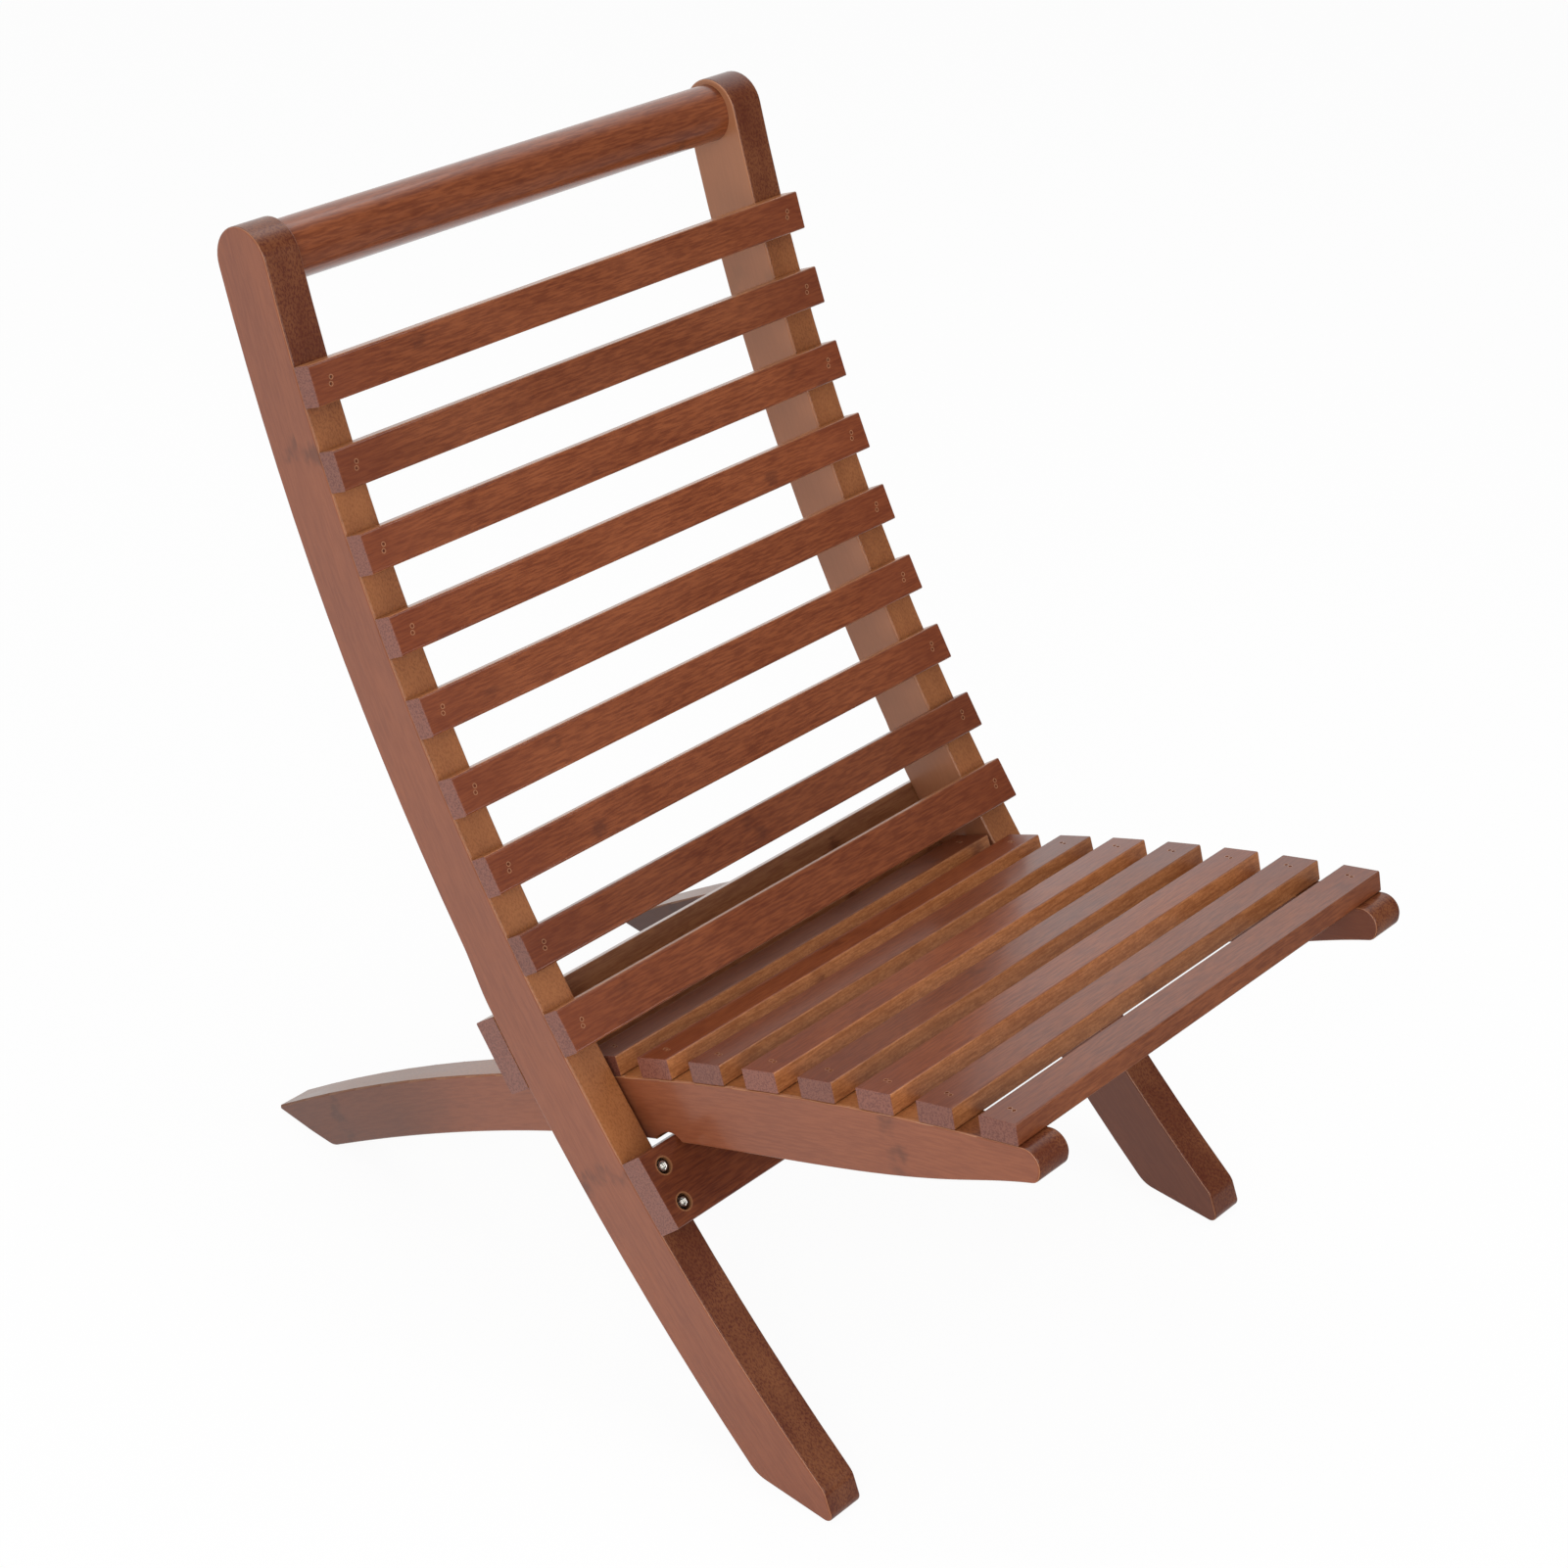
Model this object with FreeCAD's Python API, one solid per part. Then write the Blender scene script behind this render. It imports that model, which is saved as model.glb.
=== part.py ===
import FreeCAD, Part
import math
import os
from FreeCAD import Vector

# Bamboo lounge chair made of two frames that hook together.
# X is the width, the front of the chair faces -Y, Z is up.
# The origin is on the floor under the middle of the chair.
# All sizes are millimetres.

# Sizes across the chair
BACK_WIDTH = 508.0
RAIL_THICK = 32.0
SEAT_SIDE_GAP = 5.5

# Back frame, seen from the side. The front edge of its rails is one arc.
# Places along the rail are measured down this arc from the handle bar.
HANDLE_HEIGHT = 755.0
HANDLE_BEHIND_ORIGIN = 343.4
TOP_LEAN_ANGLE = 20.85
BACK_ARC_RADIUS = 1606.0
BACK_RAIL_DEPTH = 52.0
BACK_LEG_DEPTH = 56.0
LEG_STEP_START = 492.0
LEG_STEP_END = 540.0
TOE_CUT_HEIGHT = 24.5
TOE_RUN = 12.0
TOE_BLEND_RADIUS = 15.0
TOE_TIP_RADIUS = 6.0
HEEL_RADIUS = 25.0

# Seat frame, seen from the side. The top edge of its rails is one arc.
# It passes just under the rear stretcher and rises over the front stretcher.
# Places along the rail are measured along this arc.
SEAT_ARC_RADIUS = 2075.2
HOOK_DEPTH = 43.03
HOOK_CLEARANCE = 0.6
HOOK_ROOM_BEHIND = 4.4
HOOK_ROOM_IN_FRONT = 3.3
REAR_STRETCHER_CLEARANCE = 0.75
HOOK_RAIL_DEPTH = 49.2
TAIL_MIDDLE_DEPTH = 46.5
TAIL_FOOT_DEPTH = 43.2
# (place forward from the hook, depth of the rail)
FRONT_DEPTHS = ((52.0, 50.6), (106.5, 51.2), (153.5, 50.4), (202.5, 47.4), (266.0, 38.7), (305.5, 30.5))
NOSE_TOP_FROM_HOOK = 347.8
NOSE_BOTTOM_FROM_HOOK = 340.5
NOSE_BOTTOM_DEPTH = 24.2
NOSE_TOP_RADIUS = 13.0
NOSE_BOTTOM_RADIUS = 9.0
TAIL_TIP_HEIGHT = 5.2
TAIL_TIP_FACE = 3.2
TAIL_FLAT_LENGTH = 27.0
FOOT_CORNER_RADIUS = 16.0
FOOT_TIP_RADIUS = 1.6

# Slats
BACK_SLAT_WIDTH = 29.5
SEAT_SLAT_WIDTH = 31.0
SLAT_THICK = 16.0
SLAT_EDGE_RADIUS = 1.2
BACK_SLAT_COUNT = 9
BACK_SLAT_FIRST = 88.3
BACK_SLAT_PITCH = 60.88
# The lowest back slat and the rear seat slat are wider and sit a little off the pitch.
LOWEST_BACK_SLAT_WIDTH = 34.0
LOWEST_BACK_SLAT_SHIFT = 1.1
REAR_SEAT_SLAT_WIDTH = 34.0
REAR_SEAT_SLAT_SHIFT = -2.4
SEAT_SLAT_COUNT = 8
SEAT_SLAT_FIRST = -54.0
SEAT_SLAT_PITCH = 52.4

# Handle bar between the tops of the back rails
HANDLE_ALONG = 44.0
HANDLE_ACROSS = 39.0
HANDLE_TENON_DIAMETER = 20.0
TENON_END_WALL = 13.0
TENON_END_ROOM = 1.0

# Stretchers across the back frame
STRETCHER_WIDTH = 58.0
STRETCHER_THICK = 22.0
FRONT_STRETCHER_PLACE = 708.6
REAR_STRETCHER_PLACE = 576.2

# Stretcher bolts
BOLT_THREAD_DIAMETER = 6.0
BOLT_HOLE_DIAMETER = 6.6
BOLT_HEAD_DIAMETER = 10.0
BOLT_HEAD_HEIGHT = 6.0
BOLT_SOCKET_WIDTH = 5.0
BOLT_SOCKET_DEPTH = 3.2
BOLT_GRIP_IN_RAIL = 15.0
COUNTERBORE_DIAMETER = 12.4
COUNTERBORE_DEPTH = 7.0
BOLT_ROW_INSET = 14.5
INSERT_DIAMETER = 10.0
INSERT_LENGTH = 13.0
INSERT_SINK = 0.4
BOLT_TIP_ROOM = 2.0

# Brads: two at each slat end
BRAD_DIAMETER = 1.6
BRAD_HEAD_DIAMETER = 2.6
BRAD_HEAD_HEIGHT = 0.9
BRAD_SINK = 0.6
BRAD_GRIP_IN_RAIL = 15.6
BRAD_SPACING = 4.5
BRAD_SKEW = 1.6

# Edges
RAIL_EDGE_RADIUS = 1.6
STRETCHER_EDGE_RADIUS = 1.5

# Derived sizes
HALF_BACK = BACK_WIDTH / 2.0
HALF_INSIDE = HALF_BACK - RAIL_THICK
HALF_SEAT = HALF_INSIDE - SEAT_SIDE_GAP
BACK_RAIL_MIDDLE = HALF_BACK - RAIL_THICK / 2.0
SEAT_RAIL_MIDDLE = HALF_SEAT - RAIL_THICK / 2.0
TENON_LENGTH = RAIL_THICK - TENON_END_WALL
BRAD_LENGTH = SLAT_THICK - BRAD_SINK + BRAD_GRIP_IN_RAIL
BOLT_LENGTH_UNDER_HEAD = STRETCHER_THICK - COUNTERBORE_DEPTH + BOLT_GRIP_IN_RAIL
HANDLE_RADIUS_FROM_CENTRE = BACK_ARC_RADIUS + BACK_RAIL_DEPTH / 2.0
LEAN = math.radians(TOP_LEAN_ANGLE)
BACK_ARC_Y = HANDLE_BEHIND_ORIGIN - HANDLE_RADIUS_FROM_CENTRE * math.cos(LEAN)
BACK_ARC_Z = HANDLE_HEIGHT + HANDLE_RADIUS_FROM_CENTRE * math.sin(LEAN)
BACK_CENTRE = Vector(0, BACK_ARC_Y, BACK_ARC_Z)


def polar(centre, radius, angle):
    return centre + Vector(0, math.cos(angle), math.sin(angle)) * radius


def back_angle(place):
    # Angle of a place measured down the front arc from the handle bar
    return -LEAN - place / BACK_ARC_RADIUS


def back_point(depth, angle):
    return polar(BACK_CENTRE, BACK_ARC_RADIUS + depth, angle)


def curve_through(points):
    spline = Part.BSplineCurve()
    spline.interpolate(points)
    return spline.toShape()


def angle_at_height(centre, radius, height):
    return math.asin((height - centre.z) / radius)


def edges_along_x(solid, near, tolerance):
    found = []
    for edge in solid.Edges:
        a = edge.Vertexes[0].Point
        b = edge.Vertexes[-1].Point
        if abs(a.x - b.x) < 1.0:
            continue
        if math.hypot(a.y - near.y, a.z - near.z) < tolerance:
            found.append(edge)
    return found


def side_edges(solid, x):
    found = []
    for edge in solid.Edges:
        if abs(edge.BoundBox.XMin - x) < 1e-4 and abs(edge.BoundBox.XMax - x) < 1e-4:
            found.append(edge)
    return found


def round_sides(solid, x_values, radius):
    edges = []
    for x in x_values:
        edges += side_edges(solid, x)
    return solid.makeFillet(radius, edges)


def extrude_profile(edges, x_start, x_length):
    wire = Part.Wire(Part.__sortEdges__(edges))
    face = Part.Face(wire)
    solid = face.extrude(Vector(x_length, 0, 0))
    solid.translate(Vector(x_start, 0, 0))
    return solid


def board(x_start, x_length, middle, along, outward, width, thick):
    # A straight board: one long face centred on middle, thick grows along outward
    start = middle - along * (width / 2.0)
    corners = [start, start + along * width, start + along * width + outward * thick]
    corners.append(start + outward * thick)
    polygon = Part.makePolygon(corners + [corners[0]])
    solid = Part.Face(polygon).extrude(Vector(x_length, 0, 0))
    solid.translate(Vector(x_start, 0, 0))
    return solid


def round_board(solid, radius):
    edges = []
    for edge in solid.Edges:
        box = edge.BoundBox
        if box.XLength > 1.0:
            edges.append(edge)
    return solid.makeFillet(radius, edges)


def cylinder(base, direction, diameter, length):
    return Part.makeCylinder(diameter / 2.0, length, base, direction)


# Handle bar with a round tenon at each end
def handle_frame():
    radial = Vector(0, math.cos(LEAN), -math.sin(LEAN))
    upward = Vector(0, math.sin(LEAN), math.cos(LEAN))
    return BACK_CENTRE + radial * HANDLE_RADIUS_FROM_CENTRE, upward, radial


def handle_bar():
    centre, upward, radial = handle_frame()
    start = centre + Vector(-HALF_INSIDE, 0, 0)
    ellipse = Part.Ellipse(start + upward * (HANDLE_ALONG / 2.0), start + radial * (HANDLE_ACROSS / 2.0), start)
    bar = Part.Face(Part.Wire(ellipse.toShape())).extrude(Vector(HALF_INSIDE * 2.0, 0, 0))
    reach = HALF_INSIDE + TENON_LENGTH
    tenon = cylinder(centre + Vector(-reach, 0, 0), Vector(1, 0, 0), HANDLE_TENON_DIAMETER, 2.0 * reach)
    return bar.fuse(tenon).removeSplitter()


def handle_mortise():
    centre, upward, radial = handle_frame()
    reach = HALF_INSIDE + TENON_LENGTH + TENON_END_ROOM
    return cylinder(centre + Vector(-reach, 0, 0), Vector(1, 0, 0), HANDLE_TENON_DIAMETER, 2.0 * reach)


# Stretchers: flat boards on the front and the rear edge of the back rails
def stretcher_frame(place, depth, side):
    angle = back_angle(place)
    radial = Vector(0, math.cos(angle), math.sin(angle))
    along = Vector(0, -math.sin(angle), math.cos(angle))
    radius = BACK_ARC_RADIUS + depth
    if side < 0:
        radius = math.sqrt(radius ** 2 - (STRETCHER_WIDTH / 2.0) ** 2)
    return BACK_CENTRE + radial * radius, along, radial * side


FRONT_FRAME = stretcher_frame(FRONT_STRETCHER_PLACE, 0.0, -1.0)
REAR_FRAME = stretcher_frame(REAR_STRETCHER_PLACE, BACK_LEG_DEPTH, 1.0)


def stretcher_corner(frame, end, inset):
    # Outer corner of the section, or the centre of its rounding when inset is its radius
    middle, along, outward = frame
    reach = STRETCHER_WIDTH / 2.0 - inset
    return middle + along * (end * reach) + outward * (STRETCHER_THICK - inset)


# The seat frame hooks over the front stretcher's top front corner
# and its tails pass under the rear stretcher's lower rear corner.
HOOK_CORNER = stretcher_corner(FRONT_FRAME, 1.0, 0.0)
BEARING_CENTRE = stretcher_corner(REAR_FRAME, -1.0, STRETCHER_EDGE_RADIUS)


def seat_arc_centre():
    hook_radius = SEAT_ARC_RADIUS - HOOK_DEPTH
    bearing_radius = SEAT_ARC_RADIUS + REAR_STRETCHER_CLEARANCE + STRETCHER_EDGE_RADIUS
    span = BEARING_CENTRE - HOOK_CORNER
    distance = span.Length
    direction = span * (1.0 / distance)
    along = (hook_radius ** 2 - bearing_radius ** 2 + distance ** 2) / (2.0 * distance)
    across = math.sqrt(hook_radius ** 2 - along ** 2)
    downward = Vector(0, direction.z, -direction.y)
    return HOOK_CORNER + direction * along + downward * across


SEAT_CENTRE = seat_arc_centre()
HOOK_ARM = HOOK_CORNER - SEAT_CENTRE
HOOK_ANGLE = math.atan2(HOOK_ARM.z, HOOK_ARM.y)
TAIL_ANGLE = angle_at_height(SEAT_CENTRE, SEAT_ARC_RADIUS, TAIL_TIP_HEIGHT)


def seat_point(depth, angle):
    return polar(SEAT_CENTRE, SEAT_ARC_RADIUS - depth, angle)


def seat_angle(place):
    # Angle of a place measured forward along the top arc from the hook
    return HOOK_ANGLE + place / SEAT_ARC_RADIUS


def back_rail(x_start):
    top_angle = back_angle(0.0)
    top_front = back_point(0, top_angle)
    top_rear = back_point(BACK_RAIL_DEPTH, top_angle)
    middle, upward, radial = handle_frame()
    crown = middle + upward * (BACK_RAIL_DEPTH / 2.0)
    toe_angle = angle_at_height(BACK_CENTRE, BACK_ARC_RADIUS, TOE_CUT_HEIGHT)
    toe_top = back_point(0, toe_angle)
    toe_tip = Vector(0, toe_top.y - TOE_RUN, 0)
    heel_angle = angle_at_height(BACK_CENTRE, BACK_ARC_RADIUS + BACK_LEG_DEPTH, 0.0)
    heel = back_point(BACK_LEG_DEPTH, heel_angle)
    step_start = back_angle(LEG_STEP_START)
    step_end = back_angle(LEG_STEP_END)
    step_top = back_point(BACK_RAIL_DEPTH, step_start)
    step_low = back_point(BACK_LEG_DEPTH, step_end)
    front_middle = back_point(0, (top_angle + toe_angle) / 2.0)
    upper_middle = back_point(BACK_RAIL_DEPTH, (top_angle + step_start) / 2.0)
    lower_middle = back_point(BACK_LEG_DEPTH, (step_end + heel_angle) / 2.0)
    step = Part.BSplineCurve()
    tangents = [Vector(0, math.sin(a), -math.cos(a)) for a in (step_start, step_end)]
    step.interpolate(Points=[step_top, step_low], Tangents=tangents, TangentFlags=[True, True])
    edges = [
        Part.Arc(top_front, crown, top_rear).toShape(),
        Part.Arc(top_rear, upper_middle, step_top).toShape(),
        step.toShape(),
        Part.Arc(step_low, lower_middle, heel).toShape(),
        Part.makeLine(heel, toe_tip),
        Part.makeLine(toe_tip, toe_top),
        Part.Arc(toe_top, front_middle, top_front).toShape(),
    ]
    solid = extrude_profile(edges, x_start, RAIL_THICK)
    solid = solid.makeFillet(TOE_BLEND_RADIUS, edges_along_x(solid, toe_top, 0.5))
    solid = solid.makeFillet(TOE_TIP_RADIUS, edges_along_x(solid, toe_tip, 0.5))
    solid = solid.makeFillet(HEEL_RADIUS, edges_along_x(solid, heel, 0.5))
    return round_sides(solid, (x_start, x_start + RAIL_THICK), RAIL_EDGE_RADIUS)


# The notch is the stretcher's section grown by the room on each side.
# Its rounded top leaves the hook clearance at the stretcher's rounded corner.
def hook_notch(x_start):
    middle, along, outward = FRONT_FRAME
    behind = HOOK_ROOM_BEHIND + STRETCHER_EDGE_RADIUS
    front = HOOK_ROOM_IN_FRONT + STRETCHER_EDGE_RADIUS
    corner_reach = HOOK_CLEARANCE + STRETCHER_EDGE_RADIUS
    half_sum = behind + front - corner_reach
    root = math.sqrt(half_sum ** 2 - (behind ** 2 + front ** 2 - corner_reach ** 2))
    width = STRETCHER_WIDTH + 2.0 * HOOK_ROOM_BEHIND
    thick = STRETCHER_THICK + HOOK_ROOM_IN_FRONT
    tool = board(x_start - 1.0, RAIL_THICK + 2.0, middle, along, outward, width, thick)
    apex = middle + along * (width / 2.0) + outward * thick
    return tool.makeFillet(half_sum + root, edges_along_x(tool, apex, 0.5))


def seat_rail(x_start):
    nose_angle = seat_angle(NOSE_TOP_FROM_HOOK)
    nose_top = seat_point(0, nose_angle)
    nose_bottom = seat_point(NOSE_BOTTOM_DEPTH, seat_angle(NOSE_BOTTOM_FROM_HOOK))
    tail_top = seat_point(0, TAIL_ANGLE)
    top_middle = seat_point(0, (nose_angle + TAIL_ANGLE) / 2.0)
    tip = Vector(0, tail_top.y, tail_top.z - TAIL_TIP_FACE)
    foot_angle = angle_at_height(SEAT_CENTRE, SEAT_ARC_RADIUS - TAIL_FOOT_DEPTH, 0.0)
    foot_front = seat_point(TAIL_FOOT_DEPTH, foot_angle)
    foot_rear = foot_front + Vector(0, TAIL_FLAT_LENGTH, 0)
    tail_middle = seat_point(TAIL_MIDDLE_DEPTH, (foot_angle + HOOK_ANGLE) / 2.0)
    low = [foot_front, tail_middle, seat_point(HOOK_RAIL_DEPTH, HOOK_ANGLE)]
    low += [seat_point(depth, seat_angle(place)) for place, depth in FRONT_DEPTHS]
    edges = [
        Part.Arc(nose_top, top_middle, tail_top).toShape(),
        Part.makeLine(tail_top, tip),
        Part.makeLine(tip, foot_rear),
        Part.makeLine(foot_rear, foot_front),
        curve_through(low + [nose_bottom]),
        Part.makeLine(nose_bottom, nose_top),
    ]
    solid = extrude_profile(edges, x_start, RAIL_THICK)
    solid = solid.makeFillet(NOSE_TOP_RADIUS, edges_along_x(solid, nose_top, 0.5))
    solid = solid.makeFillet(NOSE_BOTTOM_RADIUS, edges_along_x(solid, nose_bottom, 0.5))
    solid = solid.makeFillet(FOOT_TIP_RADIUS, edges_along_x(solid, tip, 0.5))
    solid = solid.makeFillet(FOOT_CORNER_RADIUS, edges_along_x(solid, foot_front, 0.5))
    solid = round_sides(solid, (x_start, x_start + RAIL_THICK), RAIL_EDGE_RADIUS)
    return solid.cut(hook_notch(x_start))


# Slats: flat boards laid on the arcs, with their ends flush with the rails
def back_slat_width(index):
    return LOWEST_BACK_SLAT_WIDTH if index == BACK_SLAT_COUNT - 1 else BACK_SLAT_WIDTH


def seat_slat_width(index):
    return REAR_SEAT_SLAT_WIDTH if index == 0 else SEAT_SLAT_WIDTH


def back_slat_frame(index):
    shift = LOWEST_BACK_SLAT_SHIFT if index == BACK_SLAT_COUNT - 1 else 0.0
    angle = back_angle(BACK_SLAT_FIRST + BACK_SLAT_PITCH * index + shift)
    radial = Vector(0, math.cos(angle), math.sin(angle))
    along = Vector(0, -math.sin(angle), math.cos(angle))
    chord_radius = math.sqrt(BACK_ARC_RADIUS ** 2 - (back_slat_width(index) / 2.0) ** 2)
    return BACK_CENTRE + radial * chord_radius, along, radial * -1.0


def seat_slat_frame(index):
    shift = REAR_SEAT_SLAT_SHIFT if index == 0 else 0.0
    angle = seat_angle(SEAT_SLAT_FIRST + SEAT_SLAT_PITCH * index + shift)
    radial = Vector(0, math.cos(angle), math.sin(angle))
    along = Vector(0, -math.sin(angle), math.cos(angle))
    return SEAT_CENTRE + radial * SEAT_ARC_RADIUS, along, radial


def slat(frame, half_length, width):
    middle, along, outward = frame
    solid = board(-half_length, half_length * 2.0, middle, along, outward, width, SLAT_THICK)
    return round_board(solid, SLAT_EDGE_RADIUS)


def brad_sites(frame, rail_middle):
    middle, along, outward = frame
    sites = []
    for side in (-1.0, 1.0):
        for row in (-1.0, 1.0):
            x = side * rail_middle + row * BRAD_SKEW / 2.0
            top = middle + outward * (SLAT_THICK - BRAD_SINK) + along * (row * BRAD_SPACING / 2.0)
            sites.append((Vector(x, top.y, top.z), outward * -1.0))
    return sites


def brad(site):
    top, inward = site
    head = cylinder(top, inward, BRAD_HEAD_DIAMETER, BRAD_HEAD_HEIGHT)
    shank_top = top + inward * BRAD_HEAD_HEIGHT
    shank = cylinder(shank_top, inward, BRAD_DIAMETER, BRAD_LENGTH - BRAD_HEAD_HEIGHT)
    return head.fuse(shank).removeSplitter()


def brad_hole(site):
    top, inward = site
    mouth = cylinder(top - inward * (BRAD_SINK + 1.0), inward, BRAD_HEAD_DIAMETER,
                     BRAD_SINK + 1.0 + BRAD_HEAD_HEIGHT)
    shank_top = top + inward * BRAD_HEAD_HEIGHT
    shank = cylinder(shank_top, inward, BRAD_DIAMETER, BRAD_LENGTH - BRAD_HEAD_HEIGHT)
    return mouth.fuse(shank)


# Bolts through the stretchers into threaded inserts in the rails
def bolt_sites(frame):
    middle, along, outward = frame
    sites = []
    for side in (-1.0, 1.0):
        for row in (-1.0, 1.0):
            offset = row * (STRETCHER_WIDTH / 2.0 - BOLT_ROW_INSET)
            face = middle + outward * STRETCHER_THICK + along * offset
            sites.append((Vector(side * BACK_RAIL_MIDDLE, face.y, face.z), outward * -1.0))
    return sites


def bolt(site):
    face, inward = site
    head_floor = face + inward * COUNTERBORE_DEPTH
    head_top = head_floor - inward * BOLT_HEAD_HEIGHT
    head = cylinder(head_top, inward, BOLT_HEAD_DIAMETER, BOLT_HEAD_HEIGHT)
    rim = [edge for edge in head.Edges if len(edge.Vertexes) == 1]
    outer = [edge for edge in rim if (edge.Vertexes[0].Point - head_top).dot(inward) < 0.1]
    head = head.makeChamfer(0.5, outer)
    shank = cylinder(head_floor, inward, BOLT_THREAD_DIAMETER, BOLT_LENGTH_UNDER_HEAD)
    side_axis = Vector(1, 0, 0)
    cross_axis = inward.cross(side_axis)
    corners = []
    for k in range(6):
        a = math.radians(60.0 * k + 30.0)
        reach = BOLT_SOCKET_WIDTH / 2.0 / math.cos(math.radians(30.0))
        corners.append(head_top + side_axis * (reach * math.cos(a)) + cross_axis * (reach * math.sin(a)))
    socket = Part.Face(Part.makePolygon(corners + [corners[0]])).extrude(inward * BOLT_SOCKET_DEPTH)
    return head.fuse(shank).removeSplitter().cut(socket)


def bolt_hole(site):
    face, inward = site
    bore = cylinder(face - inward * 1.0, inward, COUNTERBORE_DIAMETER, COUNTERBORE_DEPTH + 1.0)
    through = cylinder(face, inward, BOLT_HOLE_DIAMETER, STRETCHER_THICK + 2.0)
    return bore.fuse(through)


def insert_base(site):
    face, inward = site
    return face + inward * (STRETCHER_THICK + INSERT_SINK)


def insert_pocket(site):
    face, inward = site
    mouth = face + inward * (STRETCHER_THICK - 2.0)
    pocket = cylinder(mouth, inward, INSERT_DIAMETER, 2.0 + INSERT_SINK + INSERT_LENGTH)
    tip = cylinder(mouth, inward, BOLT_HOLE_DIAMETER, 2.0 + BOLT_GRIP_IN_RAIL + BOLT_TIP_ROOM)
    return pocket.fuse(tip)


def insert(site):
    face, inward = site
    base = insert_base(site)
    sleeve = cylinder(base, inward, INSERT_DIAMETER, INSERT_LENGTH)
    return sleeve.cut(cylinder(base, inward, BOLT_THREAD_DIAMETER + 0.2, INSERT_LENGTH))


# Build every piece
back_slat_frames = [back_slat_frame(i) for i in range(BACK_SLAT_COUNT)]
seat_slat_frames = [seat_slat_frame(i) for i in range(SEAT_SLAT_COUNT)]
back_brad_sites = []
for frame in back_slat_frames:
    back_brad_sites += brad_sites(frame, BACK_RAIL_MIDDLE)
seat_brad_sites = []
for frame in seat_slat_frames:
    seat_brad_sites += brad_sites(frame, SEAT_RAIL_MIDDLE)
front_bolt_sites = bolt_sites(FRONT_FRAME)
rear_bolt_sites = bolt_sites(REAR_FRAME)

nodes = {}

back_rail_cuts = [brad_hole(site) for site in back_brad_sites]
back_rail_cuts += [insert_pocket(site) for site in front_bolt_sites + rear_bolt_sites]
back_rail_cuts.append(handle_mortise())
for name, x_start in (("back_rail_right", -HALF_BACK), ("back_rail_left", HALF_BACK - RAIL_THICK)):
    nodes[name] = back_rail(x_start).cut(back_rail_cuts)

for number, frame in enumerate(back_slat_frames, 1):
    holes = [brad_hole(site) for site in brad_sites(frame, BACK_RAIL_MIDDLE)]
    nodes["back_slat_%d" % number] = slat(frame, HALF_BACK, back_slat_width(number - 1)).cut(holes)

nodes["handle_bar"] = handle_bar()

for name, frame, sites in (
    ("front_stretcher", FRONT_FRAME, front_bolt_sites),
    ("rear_stretcher", REAR_FRAME, rear_bolt_sites),
):
    middle, along, outward = frame
    blank = board(-HALF_BACK, BACK_WIDTH, middle, along, outward, STRETCHER_WIDTH, STRETCHER_THICK)
    blank = round_board(blank, STRETCHER_EDGE_RADIUS)
    nodes[name] = blank.cut([bolt_hole(site) for site in sites])
    nodes[name + "_bolts"] = Part.makeCompound([bolt(site) for site in sites])
    nodes[name + "_inserts"] = Part.makeCompound([insert(site) for site in sites])

nodes["back_slat_brads"] = Part.makeCompound([brad(site) for site in back_brad_sites])

seat_rail_cuts = [brad_hole(site) for site in seat_brad_sites]
for name, x_start in (("seat_rail_right", -HALF_SEAT), ("seat_rail_left", HALF_SEAT - RAIL_THICK)):
    nodes[name] = seat_rail(x_start).cut(seat_rail_cuts)

for number, frame in enumerate(seat_slat_frames, 1):
    holes = [brad_hole(site) for site in brad_sites(frame, SEAT_RAIL_MIDDLE)]
    nodes["seat_slat_%d" % number] = slat(frame, HALF_SEAT, seat_slat_width(number - 1)).cut(holes)

nodes["seat_slat_brads"] = Part.makeCompound([brad(site) for site in seat_brad_sites])

os.makedirs("parts", exist_ok=True)
for name in sorted(nodes):
    shape = nodes[name]
    if not shape.isValid():
        print("NOT VALID", name)
    shape.exportStep("parts/%s.step" % name)
    box = shape.BoundBox
    print("%-26s solids %2d volume %10.1f  x %.1f..%.1f y %.1f..%.1f z %.1f..%.1f" % (
        name, len(shape.Solids), shape.Volume, box.XMin, box.XMax, box.YMin, box.YMax, box.ZMin, box.ZMax))
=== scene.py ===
import math

import bmesh
import bpy
from mathutils import Matrix, Vector


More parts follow.
